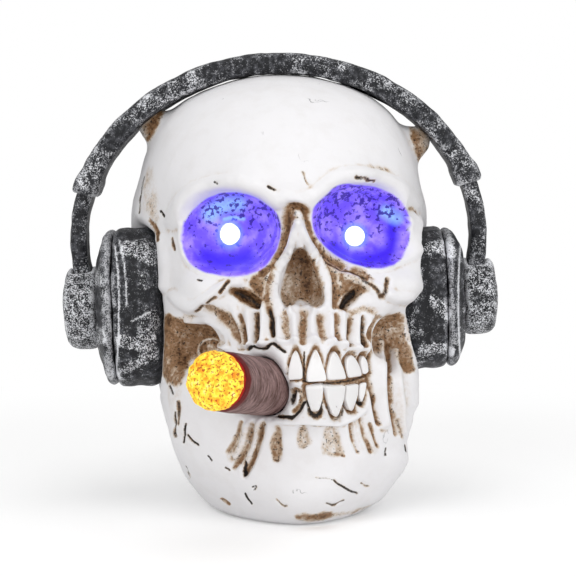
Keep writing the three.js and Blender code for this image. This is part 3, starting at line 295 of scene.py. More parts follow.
@dataclass(frozen=True)
class BonePaint:
    """Off-white resin with a brown wash in its hollows, dark cracks and violet light in the sockets.

    Each size in millimetres is a grain's, and each span says between which values a coat sets in.
    """

    bone: Colour = (0.87, 0.86, 0.875)
    shade: Colour = (0.74, 0.71, 0.69)
    stain: Colour = (0.64, 0.52, 0.40)
    wash: Colour = (0.27, 0.145, 0.068)
    deep_wash: Colour = (0.085, 0.036, 0.012)
    crack: Colour = (0.012, 0.007, 0.005)
    violet: Colour = (0.16, 0.085, 0.80)
    pale_violet: Colour = (0.36, 0.25, 0.86)
    deep_blue: Colour = (0.05, 0.015, 0.66)
    navy: Colour = (0.030, 0.008, 0.24)
    halo: Colour = (0.10, 0.20, 0.95)
    sky: Colour = (0.34, 0.62, 1.0)
    grain_mm: float = 0.9
    cloud_mm: float = 5.0
    fleck_mm: float = 0.7
    chip_mm: float = 0.6
    bend_mm: float = 5.0
    crack_patch_mm: float = 9.0
    crack_cells: Triple = (0.07, 0.07, 0.045)
    blot_mm: float = 1.3
    haze_mm: float = 4.5
    stain_span: Span = (0.05, 0.55)
    wash_span: Span = (0.30, 0.80)
    deep_span: Span = (0.78, 1.12)
    fleck_span: Span = (0.585, 0.65)
    pit_span: Span = (0.42, 0.72)
    dark_span: Span = (0.28, 0.75)
    hair_span: Span = (0.003, 0.012)
    crack_patch_span: Span = (0.68, 0.74)
    pale_span: Span = (0.40, 0.70)
    blot_span: Span = (0.60, 0.69)
    bump_mm: float = 0.16
    glow: float = 0.32

    def make(self) -> bpy.types.Material:
        """The skull's material, from the values painted on its mesh.

        Returns:
            The material.
        """
        tree = ShaderTree("bone_paint")
        grain = tree.noise(self.grain_mm, 4.0)
        cloud = tree.noise(self.cloud_mm, 4.0)
        fleck = tree.noise(self.fleck_mm, 2.0)
        wash = tree.attribute("wash")
        soaked = wash * (0.25 + 1.4 * grain) + (cloud - 0.5) * 1.2 * wash.step(0.0, 0.5)
        base = tree.mix((cloud - 0.47) * 0.9, self.bone, self.shade)
        base = tree.mix(soaked.step(*self.stain_span), base, self.stain)
        base = tree.mix(soaked.step(*self.wash_span), base, self.wash)
        base = tree.mix(soaked.step(*self.deep_span), base, self.deep_wash)
        pits = fleck.step(*self.fleck_span) * (wash + cloud * 0.5).step(*self.pit_span) * 0.85
        dark = tree.attribute("dark") * (0.1 + 1.8 * tree.noise(self.chip_mm))
        marks = dark.step(*self.dark_span).most(pits).most(self._hair_cracks(tree))
        base = tree.mix(marks, base, self.crack)
        # Painted light: the sockets glow with the eye lights' violet, blue and white.
        glow = tree.attribute("glow")
        socket = self._socket_light(tree)
        height = grain * 0.6 + cloud * 0.4
        return tree.finish(
            Base_Color=tree.mix(glow, base, socket), Roughness=0.48 + 0.2 * grain, Specular_IOR_Level=0.35,
            Normal=tree.bump(height, self.bump_mm, 0.7), Emission_Color=tree.mix(glow, BLACK, socket),
            Emission_Strength=self.glow,
        )

    def _hair_cracks(self, tree: ShaderTree) -> Signal:
        """Sparse fine cracks all over the skull.

        Args:
            tree: The material's nodes.

        Returns:
            The cracks' strength.
        """
        bend = tree.noise(self.bend_mm, 2.0)
        bends = tree.node("ShaderNodeCombineXYZ", {}, {0: bend, 1: bend, 2: bend})
        inputs = {0: bends, 1: (0.8, 0.8, 0.8), 2: tree.place(self.crack_cells)}
        shifted = tree.node("ShaderNodeVectorMath", {"operation": "MULTIPLY_ADD"}, inputs)
        settings = {"feature": "DISTANCE_TO_EDGE"}
        edge = tree.node("ShaderNodeTexVoronoi", settings, {"Vector": shifted, "Scale": 1.0}, "Distance")
        line = 1.0 - edge.step(*self.hair_span)
        return line * tree.noise(self.crack_patch_mm, 1.0).step(*self.crack_patch_span) * 0.6

    def _socket_light(self, tree: ShaderTree) -> Signal:
        """The violet that the eye lights throw on the sockets, with its blots and halo.

        Args:
            tree: The material's nodes.

        Returns:
            The light's colour.
        """
        blot = tree.noise(self.blot_mm, 2.0, (1.0, 0.5, 1.0))
        haze = tree.noise(self.haze_mm)
        light = tree.mix(haze.step(*self.pale_span), self.violet, self.pale_violet)
        light = tree.mix(tree.attribute("deep"), light, self.deep_blue)
        light = tree.mix(tree.attribute("pale") * (0.3 + haze), light, self.sky)
        blots = (blot + tree.attribute("speck") * 0.1).step(*self.blot_span)
        light = tree.mix(blots * 0.9, light, self.navy)
        light = tree.mix(tree.attribute("halo"), light, self.halo)
        return tree.mix(tree.attribute("core"), light, WHITE)


@dataclass(frozen=True)
class ToothEnamel:
    """Smooth off-white teeth, brown at the roots."""

    enamel: Colour = (0.90, 0.89, 0.89)
    root: Colour = (0.40, 0.28, 0.17)
    grain_mm: float = 1.2
    root_span: Span = (0.25, 0.9)
    bump_mm: float = 0.06

    def make(self) -> bpy.types.Material:
        """The teeth's material.

        Returns:
            The material.
        """
        tree = ShaderTree("tooth_enamel")
        grain = tree.noise(self.grain_mm)
        stained = (tree.attribute("wash") * (0.5 + grain)).step(*self.root_span)
        base = tree.mix(stained, self.enamel, self.root)
        return tree.finish(Base_Color=base, Roughness=0.38, Normal=tree.bump(grain, self.bump_mm, 0.5))


@dataclass(frozen=True)
class DryBrushedPaint:
    """Black paint with silver dragged over its high places, with a painted grey sheen and painted highlights
    on the black.
    """

    black: Colour = (0.009, 0.0095, 0.012)
    sheen_grey: Colour = (0.075, 0.077, 0.088)
    silver: Colour = (0.80, 0.81, 0.84)
    fine_mm: float = 0.36
    drag_mm: float = 1.5
    broad_mm: float = 6.5
    load_span: Span = (0.40, 0.72)
    silver_span: Span = (0.79, 0.96)
    sheen_span: Span = (0.42, 0.72)
    bump_mm: float = 0.25

    def make(self) -> bpy.types.Material:
        """The headphones' material.

        Returns:
            The material.
        """
        tree = ShaderTree("dry_brushed_paint")
        fine = tree.noise(self.fine_mm)
        drag = tree.noise(self.drag_mm, 4.0)
        broad = tree.noise(self.broad_mm)
        edge = tree.attribute("edge")
        hollow = tree.attribute("wash")
        silver_and_shine = (broad + tree.attribute("silver_and_shine") - 0.5 * hollow).step(*self.load_span)
        high = fine + drag * 0.4 + silver_and_shine * 0.13 + edge * 0.3
        silver = high.step(*self.silver_span)
        # Painted sheen: grey over the black along the drag noise and the edges, less in hollows.
        base = tree.mix((drag + edge * 0.2 - hollow * 0.3).step(*self.sheen_span), self.black, self.sheen_grey)
        # Edges and PAD_LINES turn silver: dry-brushed silver and painted edge highlights.
        base = tree.mix(silver * (0.35 + 0.65 * silver_and_shine).most(edge), base, self.silver)
        return tree.finish(
            Base_Color=base, Roughness=0.46 + 0.1 * fine, Metallic=silver * 0.2, Specular_IOR_Level=0.3,
            Normal=tree.bump(fine * 0.5 + drag * 0.5, self.bump_mm, 0.8),
        )


@dataclass(frozen=True)
class CigarLeaf:
    """A rolled brown leaf with fine veins, burnt dark red beside the ember, where it carries the ember's
    painted glow, brightest at its rim.
    """

    leaf: Colour = (0.15, 0.083, 0.076)
    pale: Colour = (0.34, 0.22, 0.21)
    vein: Colour = (0.07, 0.032, 0.026)
    burnt_red_and_glow: Colour = (0.075, 0.003, 0.003)
    heat: Colour = (0.55, 0.015, 0.004)
    streak_mm: float = 1.3
    streak_stretch: Triple = (0.4, 1.3, 0.4)
    grain_mm: float = 0.6
    pale_span: Span = (0.52, 0.86)
    vein_span: Span = (0.52, 0.68)
    rim_span: Span = (0.55, 0.95)
    bump_mm: float = 0.3
    glow: float = 0.6

    def make(self) -> bpy.types.Material:
        """The wrapper's material.

        Returns:
            The material.
        """
        tree = ShaderTree("cigar_leaf")
        streak = tree.noise(self.streak_mm, 4.0, self.streak_stretch)
        grain = tree.noise(self.grain_mm)
        burn_and_glow = tree.attribute("burn_and_glow")
        base = tree.mix((streak + grain * 0.3).step(*self.pale_span), self.leaf, self.pale)
        base = tree.mix((1.0 - streak).step(*self.vein_span) * 0.7, base, self.vein)
        base = tree.mix(burn_and_glow, base, self.burnt_red_and_glow)
        # Painted glow: the burnt ring shows the ember's light faintly, and its rim beside the ember glows
        # orange-red.
        rim = (tree.attribute("glow_rim") + grain * 0.4).step(*self.rim_span)
        lit = tree.mix(rim, tree.mix(burn_and_glow, BLACK, self.burnt_red_and_glow), self.heat)
        return tree.finish(
            Base_Color=base, Roughness=0.55, Specular_IOR_Level=0.15, Emission_Color=lit,
            Emission_Strength=self.glow, Normal=tree.bump(streak * 0.7 + grain * 0.3, self.bump_mm, 0.8),
        )


@dataclass(frozen=True)
class EmberGlow:
    """The tip's resin, lit from behind: white-hot to orange with red specks."""

    hot: Colour = (1.0, 0.985, 0.78)
    yellow: Colour = (1.0, 0.90, 0.06)
    orange: Colour = (1.0, 0.33, 0.005)
    red: Colour = (0.42, 0.02, 0.0)
    ash: Colour = (0.05, 0.01, 0.0)
    cell_mm: float = 1.6
    speck_mm: float = 0.6
    yellow_span: Span = (0.30, 0.58)
    hot_span: Span = (0.48, 0.86)
    speck_span: Span = (0.53, 0.61)
    bump_mm: float = 0.5
    glow: float = 1.05

    def make(self) -> bpy.types.Material:
        """The ember's material.

        Returns:
            The material.
        """
        tree = ShaderTree("ember_glow")
        heat = tree.attribute("heat")
        cell = tree.noise(self.cell_mm, 4.0)
        speck = tree.noise(self.speck_mm)
        light = tree.mix((cell + heat * 0.5).step(*self.yellow_span), self.orange, self.yellow)
        light = tree.mix((cell * 0.9 + heat * 0.7).step(*self.hot_span), light, self.hot)
        light = tree.mix((speck - heat * 0.2).step(*self.speck_span) * 0.85, light, self.red)
        return tree.finish(
            Base_Color=self.ash, Roughness=0.7, Normal=tree.bump(cell, self.bump_mm, 0.8),
            Emission_Color=light, Emission_Strength=self.glow,
        )


@dataclass(frozen=True)
class LampGlow:
    """A lit clear light."""

    name: str
    colour: Colour
    strength: float
    roughness: float = 0.12

    def make(self) -> bpy.types.Material:
        """The light's material."""
        lit = {"Emission_Color": self.colour, "Emission_Strength": self.strength}
        return ShaderTree(self.name).finish(Base_Color=self.colour, Roughness=self.roughness, **lit)


@dataclass(frozen=True)
class PlainFinish:
    """A moulded, plated or coated surface with a little grain."""

    name: str
    colour: Colour
    roughness: float
    metallic: float = 0.0
    bump_mm: float = 0.05
    vary: float = 0.15
    fine_mm: float = 0.4
    cloud_mm: float = 4.0

    def make(self) -> bpy.types.Material:
        """The surface's material.

        Returns:
            The material.
        """
        tree = ShaderTree(self.name)
        fine = tree.noise(self.fine_mm)
        cloud = tree.noise(self.cloud_mm, 2.0)
        dark = tuple(value * (1.0 - 2.0 * self.vary) for value in self.colour)
        return tree.finish(
            Base_Color=tree.mix(cloud.step(0.3, 0.7), self.colour, dark), Metallic=self.metallic,
            Roughness=self.roughness + 0.12 * fine, Normal=tree.bump(fine, self.bump_mm, 0.6),
        )


def smooth_step(values: np.ndarray, low: float, high: float) -> np.ndarray:
    """A smooth step from 0 at low to 1 at high."""
    share = np.clip((values - low) / (high - low), 0.0, 1.0)
    return share * share * (3.0 - 2.0 * share)


def cut_corners(start: np.ndarray, end: np.ndarray) -> np.ndarray:
    """The points at a quarter and at three quarters of each side, in order."""
    return np.stack([0.75 * start + 0.25 * end, 0.25 * start + 0.75 * end], axis=1).reshape(-1, 2)


def softened(path: Sequence[Pixel]) -> Path:
    """An open path with its corners cut and its ends kept."""
    line = np.array(path, dtype=float)
    return (tuple(line[0]), *map(tuple, cut_corners(line[:-1], line[1:])), tuple(line[-1]))


def rounded(outline: Sequence[Pixel], times: int = 2) -> Path:
    """A closed outline with its corners cut smooth.

    Args:
        outline: The outline's corners in order.
        times: How often they are cut.

    Returns:
        The new outline.
    """
    ring = np.array(outline, dtype=float)
    for _ in range(times):
        ring = cut_corners(ring, np.roll(ring, -1, axis=0))
    return tuple(map(tuple, ring))


def near_path(pixels: np.ndarray, path: Sequence[Pixel], margin: float) -> np.ndarray:
    """Which points lie in a path's box, grown by a margin.

    Args:
        pixels: Points, one row each.
        path: The path's corners.
        margin: The margin in pixels.

    Returns:
        True for each point in the box.
    """
    corners = np.array(path)
    low, high = corners.min(axis=0) - margin, corners.max(axis=0) + margin
    return ((pixels >= low) & (pixels <= high)).all(axis=1)


def path_distance(pixels: np.ndarray, path: Sequence[Pixel]) -> np.ndarray:
    """Distance from points to a path.

    Args:
        pixels: Points, one row each.
        path: The path's corners in order.

    Returns:
        The distance of each point to the nearest part of the path.
    """
    best = np.full(len(pixels), np.inf)
    for start, end in zip(path[:-1], path[1:]):
        a, b = np.array(start), np.array(end)
        along = np.clip((pixels - a) @ (b - a) / max(1e-9, (b - a) @ (b - a)), 0.0, 1.0)
        best = np.minimum(best, np.linalg.norm(pixels - a - along[:, None] * (b - a), axis=1))
    return best


def inside_outline(pixels: np.ndarray, outline: Sequence[Pixel]) -> np.ndarray:
    """Signed distance of points to a closed outline.

    Args:
        pixels: Points, one row each.
        outline: The outline's corners in order.

    Returns:
        Distances in pixels, over zero inside.
    """
    ring = tuple(outline) + (outline[0],)
    inside = np.zeros(len(pixels), dtype=bool)
    for (x0, y0), (x1, y1) in zip(ring[:-1], ring[1:]):
        if y0 == y1:
            continue
        crosses = (pixels[:, 1] < y0) != (pixels[:, 1] < y1)
        meet = x0 + (pixels[:, 1] - y0) * (x1 - x0) / (y1 - y0)
        inside ^= crosses & (pixels[:, 0] < meet)
    return np.where(inside, 1.0, -1.0) * path_distance(pixels, ring)


@dataclass(frozen=True)
class Stroke:
    """One pass of the modeller's tool on the face, along a path in photograph pixels.

    The half width is in pixels, the lift in millimetres (under zero carves), and wash and dark are
    how much brown wash and black paint the stroke takes. A side stroke pushes the surface aside, along x.
    """

    path: Path
    half_width: float
    lift: float = 0.0
    wash: float = 0.0
    dark: float = 0.0
    side: bool = False

    def reach(self, pixels: np.ndarray) -> np.ndarray:
        """How strongly the stroke touches points.

        Args:
            pixels: Where the points show in the picture.

        Returns:
            From 0 to 1 for each point.
        """
        reach = np.zeros(len(pixels))
        near = near_path(pixels, self.path, self.half_width)
        gap = path_distance(pixels[near], softened(self.path))
        reach[near] = np.maximum(0.0, 1.0 - (gap / self.half_width) ** 2) ** 2
        return reach


@dataclass(frozen=True)
class WashArea:
    """A patch that holds brown wash, inside an outline in photograph pixels."""

    outline: Path
    strength: float
    soft: float = 3.0

    def reach(self, pixels: np.ndarray) -> np.ndarray:
        """How strongly the patch stains points.

        Args:
            pixels: Where the points show in the picture.

        Returns:
            From 0 to 1 for each point.
        """
        reach = np.zeros(len(pixels))
        near = near_path(pixels, self.outline, self.soft)
        inside = inside_outline(pixels[near], rounded(self.outline, 1))
        reach[near] = self.strength * smooth_step(inside, -self.soft, self.soft)
        return reach


@dataclass(frozen=True)
class EyeSocket:
    """A socket's outline and the middle of its light, in photograph pixels, and that light's aspect."""

    outline: Path
    core: Pixel
    aspect: float


def most_reach(strokes: Iterable[Stroke], pixels: np.ndarray) -> np.ndarray:
    """How strongly the nearest of some strokes touches each point."""
    return np.max([stroke.reach(pixels) for stroke in strokes], axis=0)


def link_shape(name: str, shape: bmesh.types.BMesh) -> bpy.types.Object:
    """Make a shape an object of the scene.

    Args:
        name: The object's name.
        shape: The shape, which is freed.

    Returns:
        The object.
    """
    mesh = bpy.data.meshes.new(name)
    shape.to_mesh(mesh)
    shape.free()
    made = bpy.data.objects.new(name, mesh)
    bpy.context.scene.collection.objects.link(made)
    return made


def write_value(mesh: bpy.types.Mesh, name: str, values: np.ndarray) -> None:
    """Paint a named value on a mesh's points."""
    layer = mesh.attributes.new(name, "FLOAT", "POINT")
    layer.data.foreach_set("value", values.astype(np.float32))


def dress(piece: bpy.types.Object, material: bpy.types.Material) -> None:
    """Paint a new piece, shade it smooth and let it ride on the figure.

    Args:
        piece: The piece, in place.
        material: Its finish.
    """
    piece.data.materials.clear()
    piece.data.materials.append(material)
    piece.data.polygons.foreach_set("use_smooth", [True] * len(piece.data.polygons))
    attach(piece, BODY)
    LOG.info("%s: %d faces", piece.name, len(piece.data.polygons))


def node_box(node: str) -> tuple[np.ndarray, np.ndarray]:
    """The lowest and highest corners of a CAD node, in millimetres."""
    low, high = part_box(node)
    return np.array(low) / MM, np.array(high) / MM


def node_middle(node: str) -> np.ndarray:
    """The middle of a CAD node's box, in millimetres."""
    low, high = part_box(node)
    return (np.array(low) + np.array(high)) / 2 / MM


@dataclass(frozen=True)
class Plug:
    """A solid that closes a hole from behind, in millimetres: a ball, or a box with half sizes."""

    place: Triple
    half: Triple
    ball: bool = True

    def add(self, shape: bmesh.types.BMesh) -> None:
        """Add the plug to a shape.

        Args:
            shape: The shape.
        """
        size = Matrix.Diagonal((*self.half, 1.0)) * MM
        size[3][3] = 1.0
        matrix = Matrix.Translation(Vector(self.place) * MM) @ size
        if self.ball:
            bmesh.ops.create_icosphere(shape, subdivisions=2, radius=1.0, matrix=matrix)
        else:
            bmesh.ops.create_cube(shape, size=2.0, matrix=matrix)


class SculptPiece:
    """A cast piece modelled on an even mesh made from a CAD node's own shape."""

    pull: float = 0.5
    least_pull: float = 1e-4
    turns_per_crease: int = 4
    seed_step: float = 7.3
    grain_height: float = 1.6
    score_turns: int = 3
    most_triangles: int = 195_000
    sharp_points: int = 66_000

    def __init__(self, name: str, node: str, voxel: float, plugs: Iterable[Plug] = ()) -> None:
        """Copy a CAD node and give it an even mesh.

        Args:
            name: The piece's name.
            node: The CAD node.
            voxel: The mesh's cell in millimetres.
            plugs: Solids that close holes behind the surface.
        """
        self.name = name
        self.node = node
        shape = bmesh.new()
        shape.from_mesh(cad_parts[node].data)
        bmesh.ops.remove_doubles(shape, verts=shape.verts, dist=MERGE)
        for plug in plugs:
            plug.add(shape)
        self.object = link_shape(name, shape)
        even = self.object.modifiers.new("even_mesh", "REMESH")
        even.mode = "VOXEL"
        even.voxel_size = voxel * MM
        self.apply()
        self.read()

    def apply(self) -> None:
        """Make the modifiers' result the piece's own mesh."""
        ready = self.object.evaluated_get(bpy.context.evaluated_depsgraph_get())
        mesh = bpy.data.meshes.new_from_object(ready)
        self.object.modifiers.clear()
        self.object.data = mesh
        mesh.name = self.name

    def read(self) -> None:
        """Read the mesh's points, in millimetres, and its edges."""
        mesh = self.object.data
        points = np.empty(3 * len(mesh.vertices))
        mesh.vertices.foreach_get("co", points)
        self.points = points.reshape(-1, 3) / MM
        edges = np.empty(2 * len(mesh.edges), dtype=np.int64)
        mesh.edges.foreach_get("vertices", edges)
        self.edges = edges.reshape(-1, 2)
        self.values: dict[str, np.ndarray] = {}

    def write(self) -> None:
        """Put the points back in the mesh."""
        self.object.data.vertices.foreach_set("co", (self.points * MM).ravel())
        self.object.data.update()

    def pixels(self) -> np.ndarray:
        """Where the points show in the picture."""
        return CAMERA.pixels(self.points)

    def normals(self) -> np.ndarray:
        """The mesh's normals at its present points.

        Returns:
            One row for each point.
        """
        self.write()
        found = np.empty(3 * len(self.points))
        self.object.data.vertex_normals.foreach_get("vector", found)
        return found.reshape(-1, 3)

    def gather(self, from_a: np.ndarray, from_b: np.ndarray) -> np.ndarray:
        """The sums at the points of what each edge brings to its ends.

        Args:
            from_a: What each edge brings from its first end to its second.
            from_b: What it brings from its second end to its first.

        Returns:
            One sum for each point.
        """
        a, b = self.edges.T
        count = len(self.points)
        return np.bincount(a, from_b, count) + np.bincount(b, from_a, count)

    def spread(self, values: np.ndarray, weights: Optional[np.ndarray] = None) -> np.ndarray:
        """The weighted mean of each point's neighbours.

        Args:
            values: One row for each point.
            weights: One weight for each edge.

        Returns:
            The means, one row for each point.
        """
        weights = np.ones(len(self.edges)) if weights is None else weights
        a, b = self.edges.T
        total = np.maximum(self.gather(weights, weights), 1e-9)
        means = [self.gather(weights * column[a], weights * column[b]) / total for column in values.T]
        return np.stack(means, axis=1)

    def relax(self, times: int, crease_deg: float = 180.0) -> None:
        """Smooth the surface but keep its creases.

        Args:
            times: How often.
            crease_deg: Neighbours whose normals differ more than about this pull little.
        """
        a, b = self.edges.T
        weights = None
        for turn in range(times):
            if turn % self.turns_per_crease == 0:
                normals = self.normals()
                cosine = np.clip((normals[a] * normals[b]).sum(axis=1), -1.0, 1.0)
                weights = np.exp(-(np.degrees(np.arccos(cosine)) / crease_deg) ** 2) + self.least_pull
            self.points += self.pull * (self.spread(self.points, weights) - self.points)

    def hollowness(self, times: int) -> np.ndarray:
        """How far each point lies in a hollow.

        Args:
            times: Over how many smoothing turns the hollows reach.

        Returns:
            Depths in millimetres, under zero on a rise.
        """
        soft = self.points
        for _ in range(times):
            soft = self.spread(soft)
        return ((soft - self.points) * self.normals()).sum(axis=1)

    def refine(self, chosen: np.ndarray) -> None:
        """Split the faces whose corners are all chosen.

        Args:
            chosen: True for each chosen point.
        """
        self.write()
        shape = bmesh.new()
        shape.from_mesh(self.object.data)
        shape.verts.ensure_lookup_table()
        faces = [face for face in shape.faces if all(chosen[vert.index] for vert in face.verts)]
        edges = list({edge for face in faces for edge in face.edges})
        bmesh.ops.subdivide_edges(shape, edges=edges, cuts=1, use_grid_fill=True, smooth=0.0)
        shape.to_mesh(self.object.data)
        shape.free()
        self.read()

    def grain(self, size: float, seed: float) -> np.ndarray:
        """Soft bumps over the surface, from about -1 to 1, some millimetres wide and shifted by a seed."""
        places = self.points / size + seed * self.seed_step
        return np.array([noise.noise(place) for place in places]) * self.grain_height

    def lift(self, amount: np.ndarray) -> None:
        """Move the points along their normals by millimetres."""
        self.points += self.normals() * amount[:, None]

    def thin(self) -> None:
        """Thin a heavy mesh where its paint is even, and keep it whole where the paint is sharp."""
        mesh = self.object.data
        triangles = len(mesh.loops) - 2 * len(mesh.polygons)
        if triangles <= self.most_triangles:
            return
        a, b = self.edges.T
        change = sum(np.abs(values[a] - values[b]) for values in self.values.values())
        score = self.gather(change, change)
        for _ in range(self.score_turns):
            score = self.spread(score[:, None])[:, 0]
        even = np.argsort(-score, kind="stable")[self.sharp_points:]
        group = self.object.vertex_groups.new(name="even_paint")
        group.add(even.tolist(), 1.0, "REPLACE")
        fewer = self.object.modifiers.new("fewer_faces", "DECIMATE")
        fewer.vertex_group = group.name
        fewer.use_collapse_triangulate = True
        fewer.ratio = self.most_triangles / triangles
        self.apply()
        self.object.vertex_groups.clear()

    def finish(self, material: bpy.types.Material, slot: str) -> None:
        """Write the values on the mesh and hang the piece on the frame in its node's place.

        Args:
            material: The finish.
            slot: The record's material slot; not used.
        """
        self.write()
        for name, values in self.values.items():
            write_value(self.object.data, name, np.clip(values, -1.0, 1.0))
        self.thin()
        dress(self.object, material)
        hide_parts(self.node)


# Where the modeller's tool and brush went, in photograph pixels
LEFT_SOCKET: Path = (
    (181, 239), (182.4, 225), (191, 211), (205, 198.5), (220, 193.5), (234, 191.5), (250, 195),
    (265, 203), (278, 213), (281.5, 227), (279, 244), (272, 259.5), (261.5, 270), (246, 275.5), (229, 277),
    (212, 274.5), (196, 269), (186, 259.5),
)
RIGHT_SOCKET: Path = (
    (311.5, 220), (313.5, 208), (322, 197.5), (334, 188), (344, 183), (358, 185), (375, 186.5),
    (391, 192.5), (401, 201), (409, 213), (410.5, 228.5), (408, 246), (401, 261), (385.5, 269), (367, 268),
    (349.5, 263), (334, 254.5), (322, 244), (314, 233.5),
)
EYE_SOCKETS = (
    EyeSocket(LEFT_SOCKET, (229.5, 234.0), 0.84),
    EyeSocket(RIGHT_SOCKET, (355.0, 236.0), 0.98),
)
# Darker and paler patches of the painted eye light in the sockets.
SOCKET_DEEP = (
    Stroke(((206, 256), (222, 262), (246, 258)), 17.0),
    Stroke(((392, 226), (392, 246), (384, 262)), 12.0),
    Stroke(((334, 246), (344, 254)), 12.0),
    Stroke(((356, 260), (374, 260), (390, 250)), 14.0),
)
SOCKET_PALE = (
    Stroke(((210, 214), (222, 205), (238, 204)), 13.0),
    Stroke(((386, 212), (396, 218)), 11.0),
    Stroke(((224, 219), (234, 217), (244, 219)), 3.0),
)
NOSE_HOLE: Path = (
    (300, 247), (292, 257), (285, 276), (279, 292), (280, 303), (287, 309.5), (295, 306), (299, 301),
    (304, 302), (311, 308), (319, 310), (326, 303), (326, 292), (319, 274), (308, 254),
)
SEPTUM = Stroke(((304, 262), (306, 284), (305, 298)), 9.0)
NOSE_RIM = (
    Stroke(((298, 223), (292, 240), (284, 262), (276, 286), (275, 300), (281, 311), (289, 313)), 5.0, 0.9),
    Stroke(((299, 223), (307, 240), (317, 262), (326, 286), (329, 300), (324, 311), (314, 313)), 5.0, 0.9),
    Stroke(((289, 313), (296, 308), (300, 303), (306, 308), (314, 313)), 3.5, 0.7),
    Stroke(((298, 212), (299, 228), (300, 244)), 6.0, 0.7),
)
BROW = (
    Stroke(((172, 222), (178, 205), (190, 192), (210, 184), (234, 181), (258, 188), (278, 202)), 10.0, 0.9),
    Stroke(((308, 203), (320, 190), (338, 176), (356, 174), (380, 177), (402, 188), (414, 206)), 10.0, 0.9),
    Stroke(((284, 196), (297, 200), (309, 195)), 8.0, 0.5),
)
SOCKET_RIMS = (
    Stroke(LEFT_SOCKET[8:] + LEFT_SOCKET[:2], 5.0, 0.6),
    Stroke(RIGHT_SOCKET[9:] + RIGHT_SOCKET[:1], 5.0, 0.6),
)
CHEEKBONES = (
    Stroke(((174, 296), (182, 305), (193, 308), (206, 300), (220, 289), (238, 282)), 8.0, 0.9),
    Stroke(((348, 276), (364, 282), (382, 291), (394, 297), (402, 298)), 8.0, 0.9),
    Stroke(((410, 224), (412, 238), (412, 252), (412, 270), (411, 294)), 16.0, 1.8, side=True),
    Stroke(((413, 254), (415, 268), (414, 288)), 14.0, 1.1, side=True),
    Stroke(((160, 240), (161, 262), (163, 286)), 9.0, 0.7, side=True),
    Stroke(((186, 319), (204, 319), (216, 324), (224, 335), (228, 349)), 3.0, 0.9),
    Stroke(((370, 320), (364, 330), (368, 346)), 3.0, 0.7),
)
ROOT_RIDGES = (
    Stroke(((232, 306), (238, 322), (242, 343)), 4.0, 0.5),
    Stroke(((247, 310), (249, 326), (250, 344)), 4.0, 0.6),
    Stroke(((263, 304), (263, 322), (262, 343)), 4.5, 0.8),
    Stroke(((278, 318), (278, 332), (279, 344)), 4.0, 0.5),
    Stroke(((294, 316), (294, 330), (295, 342)), 4.5, 0.6),
    Stroke(((312, 316), (312, 330), (314, 342)), 4.5, 0.6),
    Stroke(((331, 316), (331, 330), (332, 344)), 4.5, 0.6),
    Stroke(((343, 312), (342, 328), (343, 346)), 4.5, 0.7),
    Stroke(((358, 316), (357, 332), (357, 350)), 4.0, 0.6),
)
ROOT_FLUTES = (
    Stroke(((284, 314), (286, 326), (287, 337)), 6.5, -0.9, 0.8, 0.1),
    Stroke(((303, 312), (303, 326), (303, 340)), 7.0, -1.0, 0.85, 0.15),
    Stroke(((321, 317), (322, 328), (323, 339)), 6.5, -0.9, 0.75, 0.1),
    Stroke(((270, 310), (272, 322), (272, 334)), 4.5, -1.1, 0.9, 0.8),
    Stroke(((256, 314), (257, 328), (256, 341)), 5.0, -1.0, 1.0, 0.55),
    Stroke(((240, 316), (244, 330), (246, 342)), 4.0, -0.7, 0.9, 0.4),
    Stroke(((336, 314), (337, 326), (337, 340)), 4.0, -0.5, 0.7),
    Stroke(((351, 318), (350, 332), (350, 346)), 4.0, -0.8, 0.9, 0.45),
    Stroke(((364, 318), (363, 332), (364, 346)), 4.0, -0.9, 0.9, 0.6),
)
GUM_LINE = (
    Stroke(((240, 346), (262, 345), (280, 342), (296, 340), (316, 339), (335, 342), (352, 347), (367, 350)),
           4.5, 0.8),
    Stroke(((268, 421), (284, 421), (302, 421), (320, 422), (338, 424), (352, 419), (364, 410)), 4.5, 0.8),
)
CANINE_PITS = (
    Stroke(((234, 291), (246, 297), (257, 304)), 8.0, -0.9, 1.0, 0.15),
    Stroke(((236, 293), (250, 300), (257, 305)), 4.6, -0.6, 1.0, 0.66),
    Stroke(((346, 306), (350, 298), (360, 289)), 8.5, -0.9, 1.0, 0.15),
    Stroke(((345, 306), (348, 299), (355, 294)), 5.4, -0.9, 1.0, 0.8),
)
NOSE_GROOVES = (
    Stroke(((291, 206), (287, 218), (284, 234), (280, 250), (272, 264), (262, 272)), 6.5, -0.9, 1.0, 0.1),
    Stroke(((295, 205), (304, 208), (309, 219), (312, 233), (319, 246), (330, 257), (345, 266)),
           5.5, -0.9, 1.0, 0.2),
    Stroke(((276, 268), (270, 284), (267, 300)), 5.0, -0.7, 0.95, 0.15),
    Stroke(((322, 256), (332, 272), (336, 290), (336, 306)), 5.5, -0.7, 0.95, 0.15),
    Stroke(((324, 258), (338, 268), (352, 273), (366, 279)), 3.0, -0.6, 1.0, 0.6),
)
CHEEK_SHADOWS = (
    Stroke(((206, 309), (222, 318), (236, 330), (241, 346)), 9.0, -0.8, 0.3),
    Stroke(((352, 312), (364, 308), (376, 312)), 7.0, -0.4, 0.6),
    Stroke(((196, 311), (203, 305)), 2.8, -0.5, 0.8, 0.62),
    Stroke(((208, 302), (215, 297)), 2.8, -0.4, 0.8, 0.6),
    Stroke(((220, 292), (224, 288), (229, 283)), 3.0, -0.5, 0.9, 0.66),
    Stroke(((361, 280), (374, 287), (381, 297)), 4.0, -0.5, 0.9, 0.6),
    Stroke(((382, 297), (386, 288), (388, 279)), 4.5, -0.5, 0.9, 0.6),
    Stroke(((379, 318), (372, 326), (367, 338)), 5.0, -0.5, 0.7, 0.2),
)
